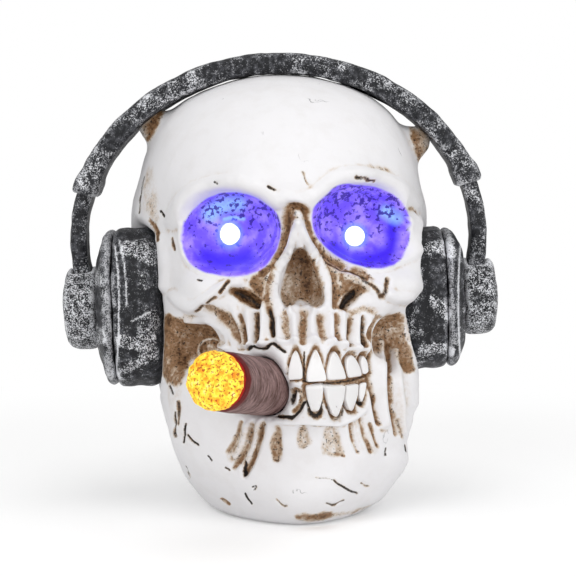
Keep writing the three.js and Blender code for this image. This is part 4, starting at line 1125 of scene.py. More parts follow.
JAW_BRANCHES = (
    Stroke(((379, 342), (380, 370), (381, 400), (384, 424)), 7.0, 1.3, 0.25),
    Stroke(((396, 352), (398, 380), (402, 410), (404, 432)), 6.0, 0.9, 0.2),
    Stroke(((371, 344), (370, 372), (373, 400), (378, 424)), 3.0, -0.7, 0.9, 0.45),
    Stroke(((388, 346), (389, 374), (392, 404), (397, 434)), 4.0, -0.8, 0.9, 0.25),
    Stroke(((199, 354), (199, 346), (207, 338), (220, 337), (228, 348)), 3.0, 0.8, 0.1),
    Stroke(((212, 346), (222, 350)), 9.0, 0.9, 0.7),
)
JAW_SIDES = (
    Stroke(((398, 462), (388, 484), (372, 503)), 17.0, 1.3, side=True),
    Stroke(((414, 416), (414, 440)), 14.0, -0.9, side=True),
)
JAW_FOLDS = (
    Stroke(((263, 424), (259, 444), (253, 460), (245, 475)), 4.5, -1.0, 0.75, 0.4),
    Stroke(((252, 424), (250, 440), (243, 456), (234, 468)), 4.0, -0.8, 0.65, 0.3),
    Stroke(((241, 422), (236, 438), (228, 452)), 4.0, -0.5, 0.55, 0.2),
    Stroke(((257, 424), (255, 444), (248, 462)), 3.5, 0.6, 0.2),
    Stroke(((246, 424), (243, 440), (235, 456)), 3.5, 0.5, 0.1),
    Stroke(((351, 424), (352, 438), (358, 452)), 3.5, -0.6, 0.7, 0.15),
    Stroke(((361, 420), (364, 436), (371, 452)), 3.5, -0.6, 0.7, 0.2),
    Stroke(((370, 424), (375, 438), (378, 446)), 3.0, -0.5, 0.6, 0.15),
    Stroke(((246, 462), (243, 472), (244, 477)), 2.5, -0.6, 0.9, 1.0),
)
CHIN_DENTS = (
    Stroke(((277, 430), (277, 444), (278, 456)), 7.0, -0.6),
    Stroke(((303, 430), (303, 442)), 8.0, -0.6),
    Stroke(((331, 432), (333, 448)), 11.0, -0.6),
    Stroke(((274, 459), (279, 461)), 2.4, -0.2, 0.8, 0.5),
    Stroke(((334, 454), (343, 455)), 2.6, -0.2, 0.6, 0.3),
)
CRACKS = (
    Stroke(((169, 386), (172, 394)), 1.8, -0.3, 0.5, 0.9),
    Stroke(((178, 402), (179, 414), (177, 424)), 3.0, -0.3, 0.8, 0.6),
    Stroke(((185, 424), (183, 443)), 1.8, -0.4, 0.5, 1.0),
    Stroke(((187, 436), (191, 441), (198, 445)), 2.2, -0.5, 0.5, 1.0),
    Stroke(((175, 412), (174, 432), (176, 437)), 2.0, -0.3, 0.7, 0.7),
    Stroke(((208, 456), (212, 461)), 1.8, -0.2, 0.4, 0.9),
    Stroke(((225, 468), (229, 470)), 2.0, -0.2, 0.6, 0.9),
    Stroke(((221, 499), (230, 504)), 2.2, -0.2, 0.9, 0.4),
    Stroke(((245, 494), (247, 499), (251, 504)), 1.8, -0.3, 0.4, 1.0),
    Stroke(((252, 487), (256, 486), (254, 490)), 1.6, -0.2, 0.4, 0.8),
    Stroke(((316, 477), (324, 478), (334, 480)), 1.4, -0.2, 0.3, 0.6),
    Stroke(((335, 480), (340, 486), (349, 490), (357, 494)), 1.8, -0.4, 0.5, 1.0),
    Stroke(((327, 504), (334, 505), (344, 501)), 2.0, -0.2, 0.7, 0.7),
    Stroke(((276, 500), (283, 506), (287, 505)), 1.5, -0.2, 0.5, 0.6),
    Stroke(((361, 483), (368, 486)), 1.8, -0.2, 0.6, 0.6),
    Stroke(((298, 517), (312, 518), (330, 515)), 6.0, 0.0, 0.9, 0.1),
    Stroke(((330, 517), (350, 513), (366, 507)), 4.0, 0.0, 0.5),
    Stroke(((386, 448), (385, 456)), 1.6, -0.2, 0.4, 0.8),
    Stroke(((407, 445), (404, 452)), 2.0, -0.2, 0.5, 0.9),
    Stroke(((398, 420), (402, 436)), 2.0, -0.3, 0.5, 0.45),
    Stroke(((185, 466), (190, 478)), 1.6, -0.2, 0.4, 0.7),
    Stroke(((217, 181), (220, 182)), 2.0, -0.2, 0.5, 0.9),
    Stroke(((268, 186), (274, 190)), 2.2, -0.3, 0.6, 0.9),
    Stroke(((303, 172), (305, 180), (308, 184)), 1.6, -0.3, 0.6, 0.6),
    Stroke(((354, 177), (364, 178), (372, 180)), 3.0, -0.4, 1.0, 0.7),
    Stroke(((160, 211), (164, 216)), 2.2, -0.3, 0.5, 1.0),
    Stroke(((171, 238), (174, 250)), 2.4, -0.3, 0.8, 0.6),
    Stroke(((411, 211), (413, 226)), 2.6, -0.3, 0.8, 0.6),
    Stroke(((412, 258), (416, 262)), 2.0, -0.2, 0.7, 0.6),
    Stroke(((198, 279), (202, 280)), 2.0, -0.2, 0.4, 0.9),
    Stroke(((150, 221), (156, 229), (160, 240)), 3.5, -0.3, 1.0, 0.1),
    Stroke(((144, 176), (140, 196), (139, 214)), 1.8, -0.2, 0.4, 0.7),
    Stroke(((292, 395), (291, 403)), 6.0, -1.0, 0.7, 1.0),
    Stroke(((248, 350), (254, 345), (258, 349), (264, 350), (269, 345), (274, 343), (278, 347), (285, 352)),
           2.6, -0.7, 0.8, 0.9),
    Stroke(((284, 392), (298, 390), (302, 396), (301, 406), (294, 412)), 5.0, -0.5, 0.8, 0.1),
    Stroke(((274, 413), (279, 416), (287, 417), (294, 418), (300, 412), (303, 405)), 2.6, -0.6, 0.8, 1.0),
    Stroke(((305, 404), (308, 415), (315, 418.5), (322, 415), (324, 404)), 2.2, -0.5, 0.8, 0.8),
    Stroke(((303, 383), (316, 385), (330, 384), (348, 382), (362, 379.5), (369, 377)), 2.2, -0.8, 1.0, 0.75),
    Stroke(((304.5, 352), (304.6, 366), (305, 381)), 2.0, -0.5, 0.9, 0.8),
    Stroke(((327, 408), (332, 417), (338, 420), (344, 416), (346, 408)), 2.2, -0.4, 0.8, 0.6),
    Stroke(((348, 408), (353, 413), (358, 406)), 2.2, -0.4, 0.8, 0.7),
    Stroke(((360, 402), (363, 407), (366, 400)), 2.4, -0.4, 0.8, 0.9),
)
WASH_AREAS = (
    WashArea(((284, 206), (296, 201), (310, 204), (312, 216), (305, 222), (298, 217), (291, 222), (285, 218)),
             0.85),
    WashArea(((143, 170), (152, 165), (158, 190), (160, 225), (148, 228), (140, 200)), 0.34, 5.0),
    WashArea(((283, 208), (290, 203), (295, 206), (293, 222), (288, 240), (281, 258), (273, 272), (268, 283),
              (272, 300), (274, 316), (267, 316), (262, 301), (254, 292), (247, 284), (253, 277), (265, 270),
              (274, 261), (280, 248), (282, 230)), 0.78),
    WashArea(((296, 203), (308, 203), (312, 214), (310, 226), (313, 236), (320, 247), (331, 257), (345, 265),
              (362, 270), (374, 277), (373, 288), (362, 294), (356, 303), (348, 311), (338, 312), (333, 300),
              (331, 282), (324, 262), (314, 246), (306, 228), (300, 212)), 0.8),
    WashArea(((229, 289), (238, 286), (250, 290), (262, 298), (265, 307), (256, 309), (246, 305), (235, 299)),
             0.95),
    WashArea(((161, 312), (175, 318), (190, 318), (206, 321), (218, 328), (226, 340), (229, 352), (206, 352),
              (198, 360), (190, 358), (186, 374), (178, 388), (168, 384), (161, 372), (160, 340)), 0.92, 4.0),
    WashArea(((199, 306), (212, 303), (224, 308), (236, 318), (244, 330), (248, 346), (240, 348), (232, 338),
              (224, 326), (212, 316)), 0.72),
    WashArea(((372, 322), (380, 316), (392, 314), (404, 314), (413, 318), (414, 340), (412, 360), (416, 371),
              (404, 374), (396, 366), (391, 350), (388, 340), (380, 338), (374, 342), (369, 350), (367, 336)),
             0.75),
    WashArea(((243, 424), (262, 422), (264, 438), (258, 455), (250, 468), (244, 478), (240, 466), (230, 462),
              (226, 452), (236, 440)), 0.5, 4.0),
    WashArea(((349, 424), (362, 414), (370, 420), (376, 440), (380, 452), (368, 456), (356, 450)), 0.32, 4.0),
    WashArea(((271, 436), (277, 425), (283, 436), (284, 450), (281, 464), (274, 463), (271, 450)), 0.6),
    WashArea(((296, 434), (303, 424), (310, 434), (312, 444), (304, 450), (296, 446)), 0.55),
    WashArea(((321, 440), (326, 428), (333, 425), (340, 432), (344, 448), (342, 457), (330, 458), (320, 452)),
             0.52),
    WashArea(((128, 104), (172, 100), (166, 112), (160, 122), (151, 142), (128, 146)), 0.85),
    WashArea(((402, 106), (440, 122), (438, 168), (418, 166), (414, 146), (408, 126)), 0.85),
    WashArea(((147, 190), (152, 196), (154, 210), (158, 224), (154, 226), (148, 214)), 0.5),
    WashArea(((372, 344), (386, 342), (389, 380), (394, 420), (384, 424), (376, 400)), 0.22, 5.0),
    WashArea(((370, 332), (390, 332), (392, 356), (372, 356)), 0.75, 5.0),
    WashArea(((390, 372), (412, 372), (410, 420), (404, 440), (396, 430)), 0.25, 6.0),
    WashArea(((164, 386), (184, 384), (182, 420), (190, 448), (178, 440), (168, 410)), 0.25, 6.0),
    WashArea(((232, 300), (268, 306), (330, 312), (366, 308), (370, 346), (340, 340), (300, 338), (250, 346)),
             0.16, 6.0),
)
FACE_STROKES = (
    NOSE_RIM + BROW + SOCKET_RIMS + CHEEKBONES + ROOT_RIDGES + ROOT_FLUTES + GUM_LINE + CANINE_PITS
    + NOSE_GROOVES + CHEEK_SHADOWS + JAW_BRANCHES + JAW_SIDES + JAW_FOLDS + CHIN_DENTS + CRACKS
)
UPPER_TEETH: tuple[Path, ...] = (
    ((287.5, 380), (302, 379), (302, 368), (299, 356), (295.5, 349), (291.5, 356), (288.5, 368)),
    ((307, 382), (327, 381), (326, 374), (320, 356), (316, 348), (311, 358), (307.5, 371)),
    ((329.5, 380), (347.5, 379), (345, 370), (339.5, 356), (335, 350), (331.5, 356), (328.5, 370)),
    ((349.5, 378), (363, 376), (360.5, 366), (356, 358), (352, 354), (347.5, 359), (347.5, 369)),
    ((364.2, 375), (369.5, 372.5), (368, 361), (363.5, 354.5), (361.3, 362)),
)
LOWER_TEETH: tuple[Path, ...] = (
    ((305, 387.5), (323.5, 387.5), (322.5, 400), (319, 412), (311.5, 413), (307, 400)),
    ((326.8, 387.5), (346, 386), (344, 401), (338, 417), (334.5, 417), (328.5, 403)),
    ((347.5, 386), (359, 384), (358, 396), (353, 411), (350.5, 411), (346.2, 400)),
    ((360, 384), (367.3, 382), (365.4, 394), (362, 403.5), (359.2, 396)),
)
# Thin silver lines along the pads' and cups' edges: dry-brushed silver and painted edge highlights.
PAD_LINES = (
    Stroke(((115, 246), (117.5, 266), (119, 290), (119, 330), (117.5, 352), (116, 376)), 2.0),
    Stroke(((119, 240), (123.5, 258), (126, 280), (127, 304)), 1.8),
    Stroke(((131, 322), (138, 318), (150, 312)), 1.8),
    Stroke(((461, 240), (459, 262), (458, 300), (459, 340), (461, 364)), 2.0),
)
# Painted highlights: patches on the band, hubs, cups and pads that take more silver to stand for their shine.
SHINE = (
    Stroke(((90, 268), (97, 280)), 10.0), Stroke(((82, 318), (92, 328), (100, 338)), 10.0),
    Stroke(((128, 250), (140, 252), (152, 258)), 11.0), Stroke(((122, 340), (134, 346), (150, 340)), 9.0),
    Stroke(((124, 370), (140, 362), (154, 352)), 6.0), Stroke(((472, 266), (480, 284)), 10.0),
    Stroke(((470, 310), (480, 322)), 9.0), Stroke(((428, 248), (440, 246), (450, 252)), 9.0),
    Stroke(((434, 300), (446, 314)), 8.0), Stroke(((424, 352), (438, 346), (450, 352)), 8.0),
    Stroke(((190, 74), (194, 80)), 6.0), Stroke(((80, 172), (84, 184)), 8.0),
    Stroke(((464, 186), (468, 196)), 7.0),
)


@dataclass
class Skull:
    """The carved resin skull. Sizes are in millimetres, and spans that name rows are in photograph pixels."""

    voxel: float = 0.75
    crease_deg: float = 22.0
    soft_crease_deg: float = 60.0
    even_turns: int = 44
    fine_turns: int = 6
    soft_turns: int = 2
    face_low: Pixel = (158.0, 172.0)
    face_high: Pixel = (424.0, 508.0)
    face_back: float = 6.0
    plug_floor: float = 19.8
    plug_roof: float = 23.6
    eye_plug: Triple = (4.2, 4.2, 4.2)
    cigar_root: Triple = (-0.3, -19.8, 33.7)
    cigar_plug: Triple = (5.0, 5.0, 5.0)
    webs: tuple[Triple, Triple] = ((-34.0, 11.5, 100.5), (36.0, 11.5, 96.0))
    web_half: Triple = (5.4, 3.4, 5.4)
    foot: float = 1.2
    depth: float = 1.45
    wobble_px: float = 1.3
    broken_share: float = 0.5
    facing_span: Span = (-0.05, 0.25)
    side_span: Span = (-14.0, -4.0)
    tooth_reach_px: float = 8.0
    bed_depth: float = 1.5
    bed_span_px: Span = (-5.5, -1.5)
    bed_wash: float = 0.85
    bed_wash_span_px: Span = (-6.0, -2.0)
    bed_dark: float = 0.42
    bed_dark_span_px: Span = (-2.2, -0.4)
    dark_power: float = 1.1
    near_turns: int = 6
    near_depth: float = 0.25
    near_rise: float = 0.12
    near_wash: float = 0.7
    rise_wear: float = 0.5
    far_turns: int = 40
    far_depth: float = 1.2
    far_wash: float = 0.6
    pit_dark: float = 0.5
    pit_start: float = 0.8
    nose_rows: Span = (262.0, 300.0)
    nose_drop_px: float = 3.0
    nose_span_px: Span = (-3.5, 0.0)
    nose_wash: float = 0.74
    nose_low_wash: float = -0.18
    septum_wash: float = 0.3
    socket_back: float = 2.0
    socket_wobble: float = 0.4
    socket_span_px: Span = (-1.0, 1.0)
    core_span_px: Span = (-9.6, -8.4)
    halo: float = 0.7
    halo_span_px: Span = (-17.0, -9.0)
    speck_rows: Span = (-250.0, -205.0)

    def plugs(self) -> list[Plug]:
        """Solids that shut the hollow inside, so that the mesh holds only what shows.

        Returns:
            The plugs.
        """
        case = node_middle("battery_case")
        low, high = node_box("battery_case")
        half = (high - low) / 2
        middle = (self.plug_floor + self.plug_roof) / 2
        rise = (self.plug_roof - self.plug_floor) / 2
        floor = Plug((case[0], case[1], middle), (half[0], half[1], rise), ball=False)
        eyes = [Plug(tuple(node_middle(f"eye_glue_{side}")), self.eye_plug) for side in SIDES]
        webs = [Plug(place, self.web_half) for place in self.webs]
        return [floor, Plug(self.cigar_root, self.cigar_plug), *eyes, *webs]

    def build(self) -> SculptPiece:
        """Carve the skull and paint its values.

        Returns:
            The carved piece, before its finish.
        """
        piece = SculptPiece("skull_carving", "skull_casting", self.voxel, self.plugs())
        piece.relax(self.even_turns, self.crease_deg)
        pixels = piece.pixels()
        low, high = np.array(self.face_low), np.array(self.face_high)
        front = piece.points[:, 1] < self.face_back
        piece.refine(front & ((pixels > low) & (pixels < high)).all(axis=1))
        piece.relax(self.fine_turns, self.crease_deg)
        self._carve(piece)
        self._paint(piece)
        return piece

    def facing(self, piece: SculptPiece) -> np.ndarray:
        """How far each point faces the camera.

        Args:
            piece: The skull.

        Returns:
            From 0 to 1 for each point.
        """
        toward = np.array(CAMERA.place()) - piece.points
        toward /= np.linalg.norm(toward, axis=1)[:, None]
        return smooth_step((piece.normals() * toward).sum(axis=1), *self.facing_span)

    def _ragged(self, piece: SculptPiece) -> np.ndarray:
        """Where the points show in the picture, with a wobble that breaks up the edges of paint."""
        wobble = np.stack([piece.grain(2.6, 0.3), piece.grain(2.6, 5.1)], axis=1)
        return piece.pixels() + self.wobble_px * wobble

    def _around_teeth(self, pixels: np.ndarray) -> np.ndarray:
        """How far points lie inside the nearest tooth's outline.

        Args:
            pixels: Where the points show in the picture.

        Returns:
            Distances in pixels, under zero outside.
        """
        around = np.full(len(pixels), -np.inf)
        for tooth in UPPER_TEETH + LOWER_TEETH:
            near = near_path(pixels, tooth, self.tooth_reach_px)
            around[near] = np.maximum(around[near], inside_outline(pixels[near], tooth))
        return around

    def _carve(self, piece: SculptPiece) -> None:
        """Work the strokes into the surface and lay the paint that they take.

        Args:
            piece: The skull, evenly meshed.
        """
        pixels = piece.pixels()
        ragged = self._ragged(piece)
        broken = pixels + self.broken_share * (ragged - pixels)
        facing = self.facing(piece)
        beside = smooth_step(-piece.points[:, 1], *self.side_span) * np.sign(piece.points[:, 0])
        aside = np.zeros(len(pixels))
        around = self._around_teeth(pixels)
        bed = smooth_step(around, *self.bed_span_px) * facing
        amount = -self.bed_depth * bed + 0.12 * piece.grain(6.0, 0.4) + 0.06 * piece.grain(2.1, 1.3)
        wash = self.bed_wash * smooth_step(around, *self.bed_wash_span_px) * facing
        dark = self.bed_dark * smooth_step(around, *self.bed_dark_span_px) * facing
        for stroke in FACE_STROKES:
            push = self.depth * stroke.lift * stroke.reach(pixels)
            if stroke.side:
                aside += push * beside
            else:
                amount += push * facing
            wash = np.maximum(wash, stroke.wash * stroke.reach(ragged) * facing)
            dark = np.maximum(dark, stroke.dark * (stroke.reach(broken) * facing) ** self.dark_power)
        for area in WASH_AREAS:
            wash = np.maximum(wash, area.reach(ragged) * facing)
        above = smooth_step(piece.points[:, 2], self.foot / 2, self.foot * 3)
        piece.lift(amount * above)
        piece.points[:, 0] += aside * above
        piece.relax(self.soft_turns, self.soft_crease_deg)
        piece.points[:, 2] = np.maximum(piece.points[:, 2], 0.0)
        piece.values = {"wash": wash, "dark": dark}

    def _paint(self, piece: SculptPiece) -> None:
        """Add wash in the hollows, the nose's shade and the sockets' light to the strokes' paint.

        Args:
            piece: The carved skull.
        """
        pixels = piece.pixels()
        facing = self.facing(piece)
        hollow = piece.hollowness(self.near_turns)
        near = np.clip(hollow / self.near_depth, 0.0, 1.0)
        rise = np.clip(-hollow / self.near_rise, 0.0, 1.0)
        far = np.clip(piece.hollowness(self.far_turns) / self.far_depth, 0.0, 1.0)
        wash = piece.values["wash"] * (1.0 - self.rise_wear * rise)
        wash = np.maximum(wash, np.maximum(self.near_wash * near, self.far_wash * far))
        lower = smooth_step(pixels[:, 1], *self.nose_rows)
        inside = inside_outline(pixels, rounded(NOSE_HOLE)) - self.nose_drop_px * lower
        nose = smooth_step(inside, *self.nose_span_px) * facing
        shade = self.nose_wash + self.nose_low_wash * lower + self.septum_wash * SEPTUM.reach(pixels)
        wash = np.maximum(wash * (1.0 - nose), nose * shade)
        pits = self.pit_dark * np.clip(far - self.pit_start, 0.0, 1.0) * (1.0 - nose)
        dark = np.maximum(piece.values["dark"], pits)
        light = self._socket_light(piece, pixels)
        bare = 1.0 - light["glow"]
        piece.values = {"wash": wash * bare, "dark": dark * bare, **light}

    def _socket_light(self, piece: SculptPiece, pixels: np.ndarray) -> dict[str, np.ndarray]:
        """Where the eye lights fall in the sockets.

        Args:
            piece: The carved skull.
            pixels: Where its points show in the picture.

        Returns:
            The strengths of the light's parts, by name.
        """
        front = piece.points[:, 1] < self.socket_back
        ragged = pixels + piece.grain(2.6, 0.3)[:, None] * self.socket_wobble * self.wobble_px
        upper = smooth_step(-pixels[:, 1], *self.speck_rows)
        light = {name: np.zeros(len(pixels)) for name in ("glow", "halo", "core", "speck")}
        for socket in EYE_SOCKETS:
            inside = inside_outline(ragged, rounded(socket.outline))
            inside = smooth_step(inside, *self.socket_span_px) * front
            offset = (pixels - np.array(socket.core)) * np.array([1.0, socket.aspect])
            gap = np.linalg.norm(offset, axis=1)
            parts = {
                "glow": inside,
                "halo": self.halo * inside * smooth_step(-gap, *self.halo_span_px),
                "core": inside * smooth_step(-gap, *self.core_span_px),
                "speck": inside * upper,
            }
            for name, strength in parts.items():
                light[name] = np.maximum(light[name], strength)
        light["deep"] = most_reach(SOCKET_DEEP, ragged)
        light["pale"] = most_reach(SOCKET_PALE, ragged)
        return light


@dataclass
class Teeth:
    """The teeth that show beside the cigar, one piece each, set in the carved bed. Sizes in millimetres."""

    proud: float = 0.45
    depth: float = 3.2
    corner: float = 0.7
    corner_steps: int = 3
    edge: float = 0.55
    edge_steps: int = 4
    flat: float = 0.01
    root_span: Span = (0.7, 1.25)

    def build(self, skull: SculptPiece, material: bpy.types.Material) -> None:
        """Make every tooth on the carved skull.

        Args:
            skull: The carved skull.
            material: The teeth's finish.
        """
        skull.write()
        mesh = skull.object.data
        tree = BVHTree.FromPolygons(
            [vertex.co for vertex in mesh.vertices], [tuple(face.vertices) for face in mesh.polygons],
        )
        for row, outlines in (("upper", UPPER_TEETH), ("lower", LOWER_TEETH)):
            for index, outline in enumerate(outlines):
                normal, plane = self._front(outline, tree)
                shape = self._shape(outline, normal, plane)
                tooth = link_shape(f"{row}_tooth_{index + 1}", shape)
                self._stain(tooth.data, row == "upper")
                dress(tooth, material)

    def _front(self, outline: Path, tree: BVHTree) -> tuple[Vector, Vector]:
        """The plane of a tooth's face, just proud of the skull behind it.

        Args:
            outline: The tooth's outline in photograph pixels.
            tree: The carved skull's surface.

        Returns:
            The plane's normal and a point of it, in metres.
        """
        eye = CAMERA.place() * MM
        corners = np.array(outline)
        middle = corners.mean(axis=0)
        spots = np.concatenate([corners, (corners + middle) / 2, middle[None]])
        hits = np.array([tree.ray_cast(eye, CAMERA.ray(tuple(spot)))[0] for spot in spots])
        _, _, axes = np.linalg.svd(hits - hits.mean(axis=0))
        normal = Vector(axes[2]) * (1.0 if axes[2][1] < 0 else -1.0)
        front = max(normal.dot(Vector(hit)) for hit in hits)
        return normal, normal * (front + self.proud * MM)

    def _shape(self, outline: Path, normal: Vector, plane: Vector) -> bmesh.types.BMesh:
        """A tooth cut to its outline as the camera sees it, with soft corners and edges.

        Args:
            outline: The tooth's outline in photograph pixels.
            normal: The way its face looks.
            plane: A point of its face, in metres.

        Returns:
            The tooth's shape.
        """
        eye = CAMERA.place() * MM
        bevel = {"offset_type": "OFFSET", "profile": 0.5, "material": -1, "clamp_overlap": True}
        shape = bmesh.new()
        corners = []
        for pixel in outline:
            ray = CAMERA.ray(pixel)
            distance = (plane - eye).dot(normal) / ray.dot(normal)
            corners.append(shape.verts.new(eye + ray * distance))
        shape.faces.new(corners)
        bmesh.ops.bevel(
            shape, geom=list(shape.verts), offset=self.corner * MM, affect="VERTICES",
            segments=self.corner_steps, **bevel,
        )
        back = bmesh.ops.extrude_face_region(shape, geom=shape.faces[:1])
        moved = [item for item in back["geom"] if isinstance(item, bmesh.types.BMVert)]
        bmesh.ops.translate(shape, verts=moved, vec=-normal * self.depth * MM)
        bmesh.ops.recalc_face_normals(shape, faces=shape.faces)
        face = {vert for vert in shape.verts if abs((vert.co - plane).dot(normal)) < self.flat * MM}
        rim = [edge for edge in shape.edges if face.issuperset(edge.verts)]
        bmesh.ops.bevel(
            shape, geom=rim, offset=self.edge * MM, affect="EDGES", segments=self.edge_steps, **bevel,
        )
        return shape

    def _stain(self, mesh: bpy.types.Mesh, up: bool) -> None:
        """Paint how brown a tooth is towards its root.

        Args:
            mesh: The tooth's mesh.
            up: Whether it hangs from the upper jaw.
        """
        heights = np.array([vertex.co.z for vertex in mesh.vertices])
        share = (heights - heights.min()) / (heights.max() - heights.min())
        root = share if up else 1.0 - share
        write_value(mesh, "wash", smooth_step(root, *self.root_span))


@dataclass
class Headphones:
    """Band, arms, hubs, cups and pads, each a modelled casting. Sizes are in millimetres."""

    voxel: float = 0.55
    even_turns: int = 16
    crease_deg: float = 24.0
    soft_crease_deg: float = 90.0
    bump: float = 0.16
    bend_turns: int = 10
    front: float = 6.0
    edge_percent: float = 22.0
    edge_rise: float = 0.2
    hollow_depth: float = 0.3
    silver: dict[str, float] = field(default_factory=lambda: {
        "band": 0.03, "hub": 0.25, "cup": -0.06, "pad": 0.0,
    })
    shine: float = 0.6

    def build(self, material: bpy.types.Material) -> None:
        """Make every piece with its dry-brushed finish.

        Args:
            material: The finish.
        """
        names = ["headband"]
        for side in SIDES:
            names += [f"{part}_{side}" for part in ("band_arm", "ear_hub", "ear_cup", "ear_pad")]
        for turn, node in enumerate(names):
            piece = SculptPiece(f"{node}_casting", node, self.voxel)
            piece.relax(self.even_turns, self.crease_deg)
            piece.relax(1, self.soft_crease_deg)
            amount = self.bump * piece.grain(6.0, 0.7 * turn) + 0.5 * self.bump * piece.grain(2.4, 0.3 * turn)
            piece.lift(amount + 0.5 * self.bump)
            self._paint(piece)
            piece.finish(material, "black_silver_paint")

    def _paint(self, piece: SculptPiece) -> None:
        """Paint where a piece's edges, hollows, silver and painted highlights lie.

        Args:
            piece: The modelled piece.
        """
        bend = piece.hollowness(self.bend_turns)
        pixels = piece.pixels()
        seen = piece.points[:, 1] < self.front
        lines = most_reach(PAD_LINES, pixels) * seen
        shine = most_reach(SHINE, pixels) * seen
        edge = np.clip((np.percentile(bend, self.edge_percent) - bend) / self.edge_rise, 0.0, 1.0)
        hollow = np.clip((bend - np.median(bend)) / self.hollow_depth, 0.0, 1.0)
        kind = next(kind for kind in self.silver if kind in piece.node)
        # Each kind's amount of silver, plus the painted highlights of SHINE.
        silver_and_shine = self.silver[kind] + self.shine * shine
        piece.values = {"edge": np.maximum(0.6 * edge, lines), "wash": hollow, "silver_and_shine": silver_and_shine}


@dataclass
class Cigar:
    """The wrapper, its glowing tip and the burnt ring between them. Sizes are in millimetres."""

    voxel: float = 0.4
    even_turns: int = 14
    crease_deg: float = 24.0
    ring: float = 3.4
    ring_soft: float = 0.6
    glow_rim: float = 1.5
    tip_turns: int = 12
    tip_crease_deg: float = 40.0
    tip_grow: float = 0.3
    hot_px: Pixel = (228.0, 385.0)
    hot_span_px: Span = (-40.0, -4.0)

    def build(self) -> None:
        """Make the wrapper and the ember."""
        axis = node_middle("cigar_ember") - node_middle("cigar_wrapper")
        self._wrapper(axis / np.linalg.norm(axis))
        self._tip()

    def _wrapper(self, axis: np.ndarray) -> None:
        """Make the wrapper, burnt at its far end, with the ember's glow painted on that end.

        Args:
            axis: The unit direction from the mouth to the ember.
        """
        piece = SculptPiece("cigar_roll", "cigar_wrapper", self.voxel)
        piece.relax(self.even_turns, self.crease_deg)
        along = piece.points @ axis
        end = along.max()
        start = end - self.ring
        piece.lift(0.07 * piece.grain(3.0, 0.2) + 0.04 * piece.grain(1.2, 2.0))
        # The burnt ring with its painted glow, and the painted glowing rim beside the ember.
        piece.values = {
            "burn_and_glow": smooth_step(along, start - self.ring_soft, start + self.ring_soft),
            "glow_rim": smooth_step(along, end - self.glow_rim, end),
        }
        piece.finish(CigarLeaf().make(), "wrapper_paint")

    def _tip(self) -> None:
        """Make the ember, hottest in its middle."""
        piece = SculptPiece("cigar_glow", "cigar_ember", self.voxel)
        piece.relax(self.tip_turns, self.tip_crease_deg)
        piece.lift(self.tip_grow + 0.16 * piece.grain(1.9, 0.5) + 0.08 * piece.grain(0.95, 1.1))
        gap = np.linalg.norm(piece.pixels() - np.array(self.hot_px), axis=1)
        piece.values = {"heat": smooth_step(-gap, *self.hot_span_px)}
        piece.finish(EmberGlow().make(), "ember_resin")


@dataclass
class EyeLights:
    """The lit five millimetre lights in the sockets. Sizes are in millimetres."""

    steps: int = 40
    dome_steps: int = 8
    radius: float = 2.5
    flange: float = 2.9
    flange_thick: float = 1.0
    body: float = 4.6
    glow: LampGlow = LampGlow("eye_light", (0.88, 0.95, 1.0), 1.4)

    def build(self) -> None:
        """Make both lights."""
        material = self.glow.make()
        for side in SIDES:
            node = f"eye_led_{side}"
            light = link_shape(f"eye_light_{side}", self._shape(node))
            dress(light, material)
            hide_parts(node)

    def _profile(self) -> list[tuple[float, float]]:
        """The light's profile from its tip to its back.

        Returns:
            Radius and depth of each corner.
        """
        turns = [turn / self.dome_steps * math.pi / 2 for turn in range(self.dome_steps + 1)]
        dome = [(self.radius * math.sin(turn), self.radius * (1.0 - math.cos(turn))) for turn in turns]
        foot = self.radius + self.body
        back = foot + self.flange_thick
        return dome + [(self.radius, foot), (self.flange, foot), (self.flange, back), (0.0, back)]

    def _shape(self, node: str) -> bmesh.types.BMesh:
        """One light, spun about its axis.

        Args:
            node: The CAD node in whose place it stands.

        Returns:
            The light's shape.
        """
        low, high = node_box(node)
        tip = Vector(((low[0] + high[0]) / 2, low[1], (low[2] + high[2]) / 2))
        shape = bmesh.new()
        verts = [shape.verts.new((tip + Vector((*corner, 0.0))) * MM) for corner in self._profile()]
        edges = [shape.edges.new(pair) for pair in zip(verts[:-1], verts[1:])]
        bmesh.ops.spin(
            shape, geom=verts + edges, cent=tip * MM, axis=(0.0, 1.0, 0.0), angle=2.0 * math.pi,
            steps=self.steps, use_merge=True,
        )
        bmesh.ops.remove_doubles(shape, verts=shape.verts, dist=MERGE)
        bmesh.ops.recalc_face_normals(shape, faces=shape.faces)
        return shape


class InnerFinish(Enum):
    """Finishes of the works in the base."""

    BLACK_PLASTIC = PlainFinish("case_plastic", (0.016, 0.016, 0.018), 0.45)
    CELL = PlainFinish("cell_jacket", (0.045, 0.17, 0.08), 0.3, 0.5, 0.02)
    STEEL = PlainFinish("plated_steel", (0.62, 0.63, 0.64), 0.28, 1.0, 0.02)
    WHITE_PLASTIC = PlainFinish("knob_plastic", (0.74, 0.74, 0.72), 0.35)
    BOARD = PlainFinish("board_mask", (0.03, 0.14, 0.05), 0.4)
    EPOXY = PlainFinish("chip_epoxy", (0.01, 0.01, 0.01), 0.25)
    RESISTOR = PlainFinish("resistor_coat", (0.55, 0.42, 0.24), 0.5)
    GLUE = PlainFinish("set_glue", (0.75, 0.72, 0.62), 0.3)
    RED_WIRE = PlainFinish("red_wire", (0.45, 0.02, 0.015), 0.45)
    BLACK_WIRE = PlainFinish("black_wire", (0.014, 0.014, 0.015), 0.45)
    WHITE_WIRE = PlainFinish("white_wire", (0.7, 0.68, 0.62), 0.5)
    AMBER = LampGlow("cigar_light", (1.0, 0.7, 0.3), 2.0)


